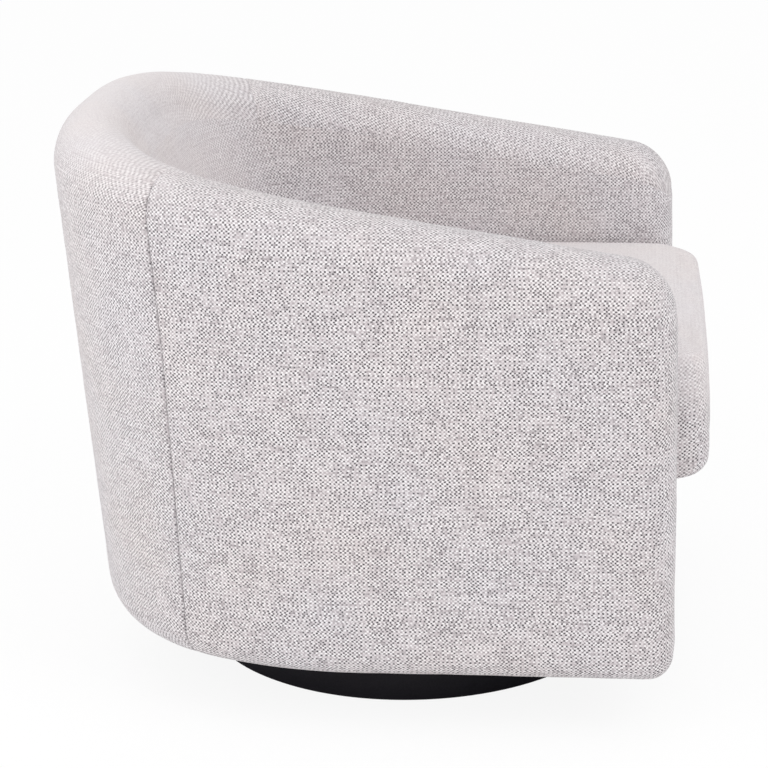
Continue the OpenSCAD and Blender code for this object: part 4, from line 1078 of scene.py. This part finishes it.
# staples that hold the dust cloth, one after the other along its edge
def stapleGroup():
    group = bpy.data.node_groups.new("stapleRow", "GeometryNodeTree")
    face = group.interface
    face.new_socket("Geometry", in_out="OUTPUT", socket_type="NodeSocketGeometry")
    face.new_socket("Line", in_out="INPUT", socket_type="NodeSocketGeometry")
    for name in ("Spacing", "Crown", "Wire", "Skew"):
        face.new_socket(name, in_out="INPUT", socket_type="NodeSocketFloat")
    face.new_socket("Seed", in_out="INPUT", socket_type="NodeSocketInt")
    face.new_socket("Finish", in_out="INPUT", socket_type="NodeSocketMaterial")
    gin, gout = group.nodes.new("NodeGroupInput"), group.nodes.new("NodeGroupOutput")
    line = put(group, "GeometryNodeMeshToCurve", {0: gin.outputs["Line"]})
    line = put(group, "GeometryNodeResampleCurve",
               {"Curve": line.outputs[0], "Length": gin.outputs["Spacing"]}, mode="LENGTH")
    wire = gin.outputs["Wire"]
    leg = calc(group, "MULTIPLY", wire, 3.0)
    bar = put(group, "ShaderNodeCombineXYZ", {0: gin.outputs["Crown"], 1: wire, 2: wire})
    post = put(group, "ShaderNodeCombineXYZ", {0: wire, 1: wire, 2: leg})
    shape = put(group, "GeometryNodeJoinGeometry")
    group.links.new(put(group, "GeometryNodeMeshCube", {"Size": bar.outputs[0]}).outputs[0], shape.inputs[0])
    for side in (-0.5, 0.5):
        out = calc(group, "MULTIPLY", gin.outputs["Crown"], side)
        place = put(group, "ShaderNodeCombineXYZ", {0: out, 2: wire})
        cube = put(group, "GeometryNodeMeshCube", {"Size": post.outputs[0]})
        moved = put(group, "GeometryNodeTransform", {0: cube.outputs[0], "Translation": place.outputs[0]})
        group.links.new(moved.outputs[0], shape.inputs[0])
    along = put(group, "FunctionNodeAlignRotationToVector",
                {"Vector": put(group, "GeometryNodeInputTangent").outputs[0]}, axis="X", pivot_axis="Z")
    low = calc(group, "MULTIPLY", gin.outputs["Skew"], -1.0)
    dice = put(group, "FunctionNodeRandomValue",
               {2: low, 3: gin.outputs["Skew"], "Seed": gin.outputs["Seed"]})
    yaw = put(group, "ShaderNodeCombineXYZ", {2: dice.outputs[1]})
    turn = put(group, "FunctionNodeRotateRotation", {0: along.outputs[0], 1: yaw.outputs[0]})
    rows = put(group, "GeometryNodeInstanceOnPoints",
               {"Points": line.outputs[0], "Instance": shape.outputs[0], "Rotation": turn.outputs[0]})
    real = put(group, "GeometryNodeRealizeInstances", {0: rows.outputs[0]})
    done = put(group, "GeometryNodeSetMaterial", {0: real.outputs[0], "Material": gin.outputs["Finish"]})
    group.links.new(done.outputs[0], gout.inputs[0])
    return group


def stapleRow(name, points, settings):
    verts = [Vector(p) for p in points]
    mesh = bpy.data.meshes.new(name)
    mesh.from_pydata(verts, [(i, i + 1) for i in range(len(verts) - 1)], [])
    obj = linkedObject(name, mesh)
    mod = obj.modifiers.new("staples", "NODES")
    group = stapleGroup()
    mod.node_group = group
    sockets = {s.name: s.identifier for s in group.interface.items_tree if s.in_out == "INPUT"}
    for key, value in settings.items():
        mod[sockets[key]] = value
    bakeModifiers(obj)
    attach(obj, "tub")
    return obj


staples = {"Spacing": 0.032, "Crown": 0.0110, "Wire": 0.0011, "Skew": 0.22, "Seed": 4,
           "Finish": finishes["steel"]}
stapleLine = [(x, y, dustBox[0].z - 0.0003) for x, y in dustOutline(0.009)]
dustStaples = stapleRow("dustStaples", stapleLine, staples)
print("staples made:", len(dustStaples.data.polygons) // 18)

slotOf = {part["node"]: part["material_slot"] for part in frame["record"]["subparts"]}
for nodeName, obj in frame["nodes"].items():
    finish = finishes.get(slotOf.get(nodeName))
    if finish:
        for s in obj.material_slots:
            s.material = finish


# stage and light
def makeStage():
    verts = [(-30, -30, 0), (30, -30, 0), (30, 30, 0), (-30, 30, 0)]
    mesh = bpy.data.meshes.new("studioFloor")
    mesh.from_pydata(verts, [], [(0, 1, 2, 3)])
    floor = linkedObject("studioFloor", mesh)
    mat, tree, shader = makeMaterial("studioFloor")
    shader.inputs["Base Color"].default_value = (0.96, 0.96, 0.96, 1)
    shader.inputs["Roughness"].default_value = 1.0
    shader.inputs["Specular IOR Level"].default_value = 0.0
    # the camera sees the floor as white paper with a light shadow
    paper = put(tree, "ShaderNodeEmission", {"Color": (1, 1, 1, 1), "Strength": 1.0})
    ray = put(tree, "ShaderNodeLightPath").outputs["Is Camera Ray"]
    share = calc(tree, "MULTIPLY", ray, 0.9)
    both = put(tree, "ShaderNodeMixShader", {0: share, 1: shader.outputs[0], 2: paper.outputs[0]})
    tree.links.new(both.outputs[0], tree.nodes["Material Output"].inputs["Surface"])
    mesh.materials.append(mat)


def areaLamp(name, place, aim, size, power):
    data = bpy.data.lights.new(name, "AREA")
    data.shape = "SQUARE"
    data.size = size
    data.energy = power
    lamp = linkedObject(name, data)
    lamp.location = place
    lamp.rotation_euler = (Vector(aim) - Vector(place)).to_track_quat("-Z", "Y").to_euler()


def makeLight():
    world = bpy.data.worlds.new("studio")
    bpy.context.scene.world = world
    world.use_nodes = True
    tree = world.node_tree
    background = tree.nodes["Background"]
    background.inputs["Color"].default_value = (1, 1, 1, 1)
    background.inputs["Strength"].default_value = 0.74
    sun = bpy.data.lights.new("softSun", "SUN")
    sun.energy = 0.35
    sun.angle = radians(60)
    lamp = linkedObject("softSun", sun)
    lamp.rotation_euler = Vector((0.12, 0.1, -1)).to_track_quat("-Z", "Y").to_euler()
    areaLamp("frontFill", (-1.9, -2.9, 2.9), (0, 0.1, 0.5), 2.2, 38)
    areaLamp("rearFill", (-2.6, 2.6, 2.1), (0, 0, 0.4), 2.5, 46)


makeStage()
makeLight()
bpy.context.scene.view_settings.view_transform = "Standard"
print("stage and light made")
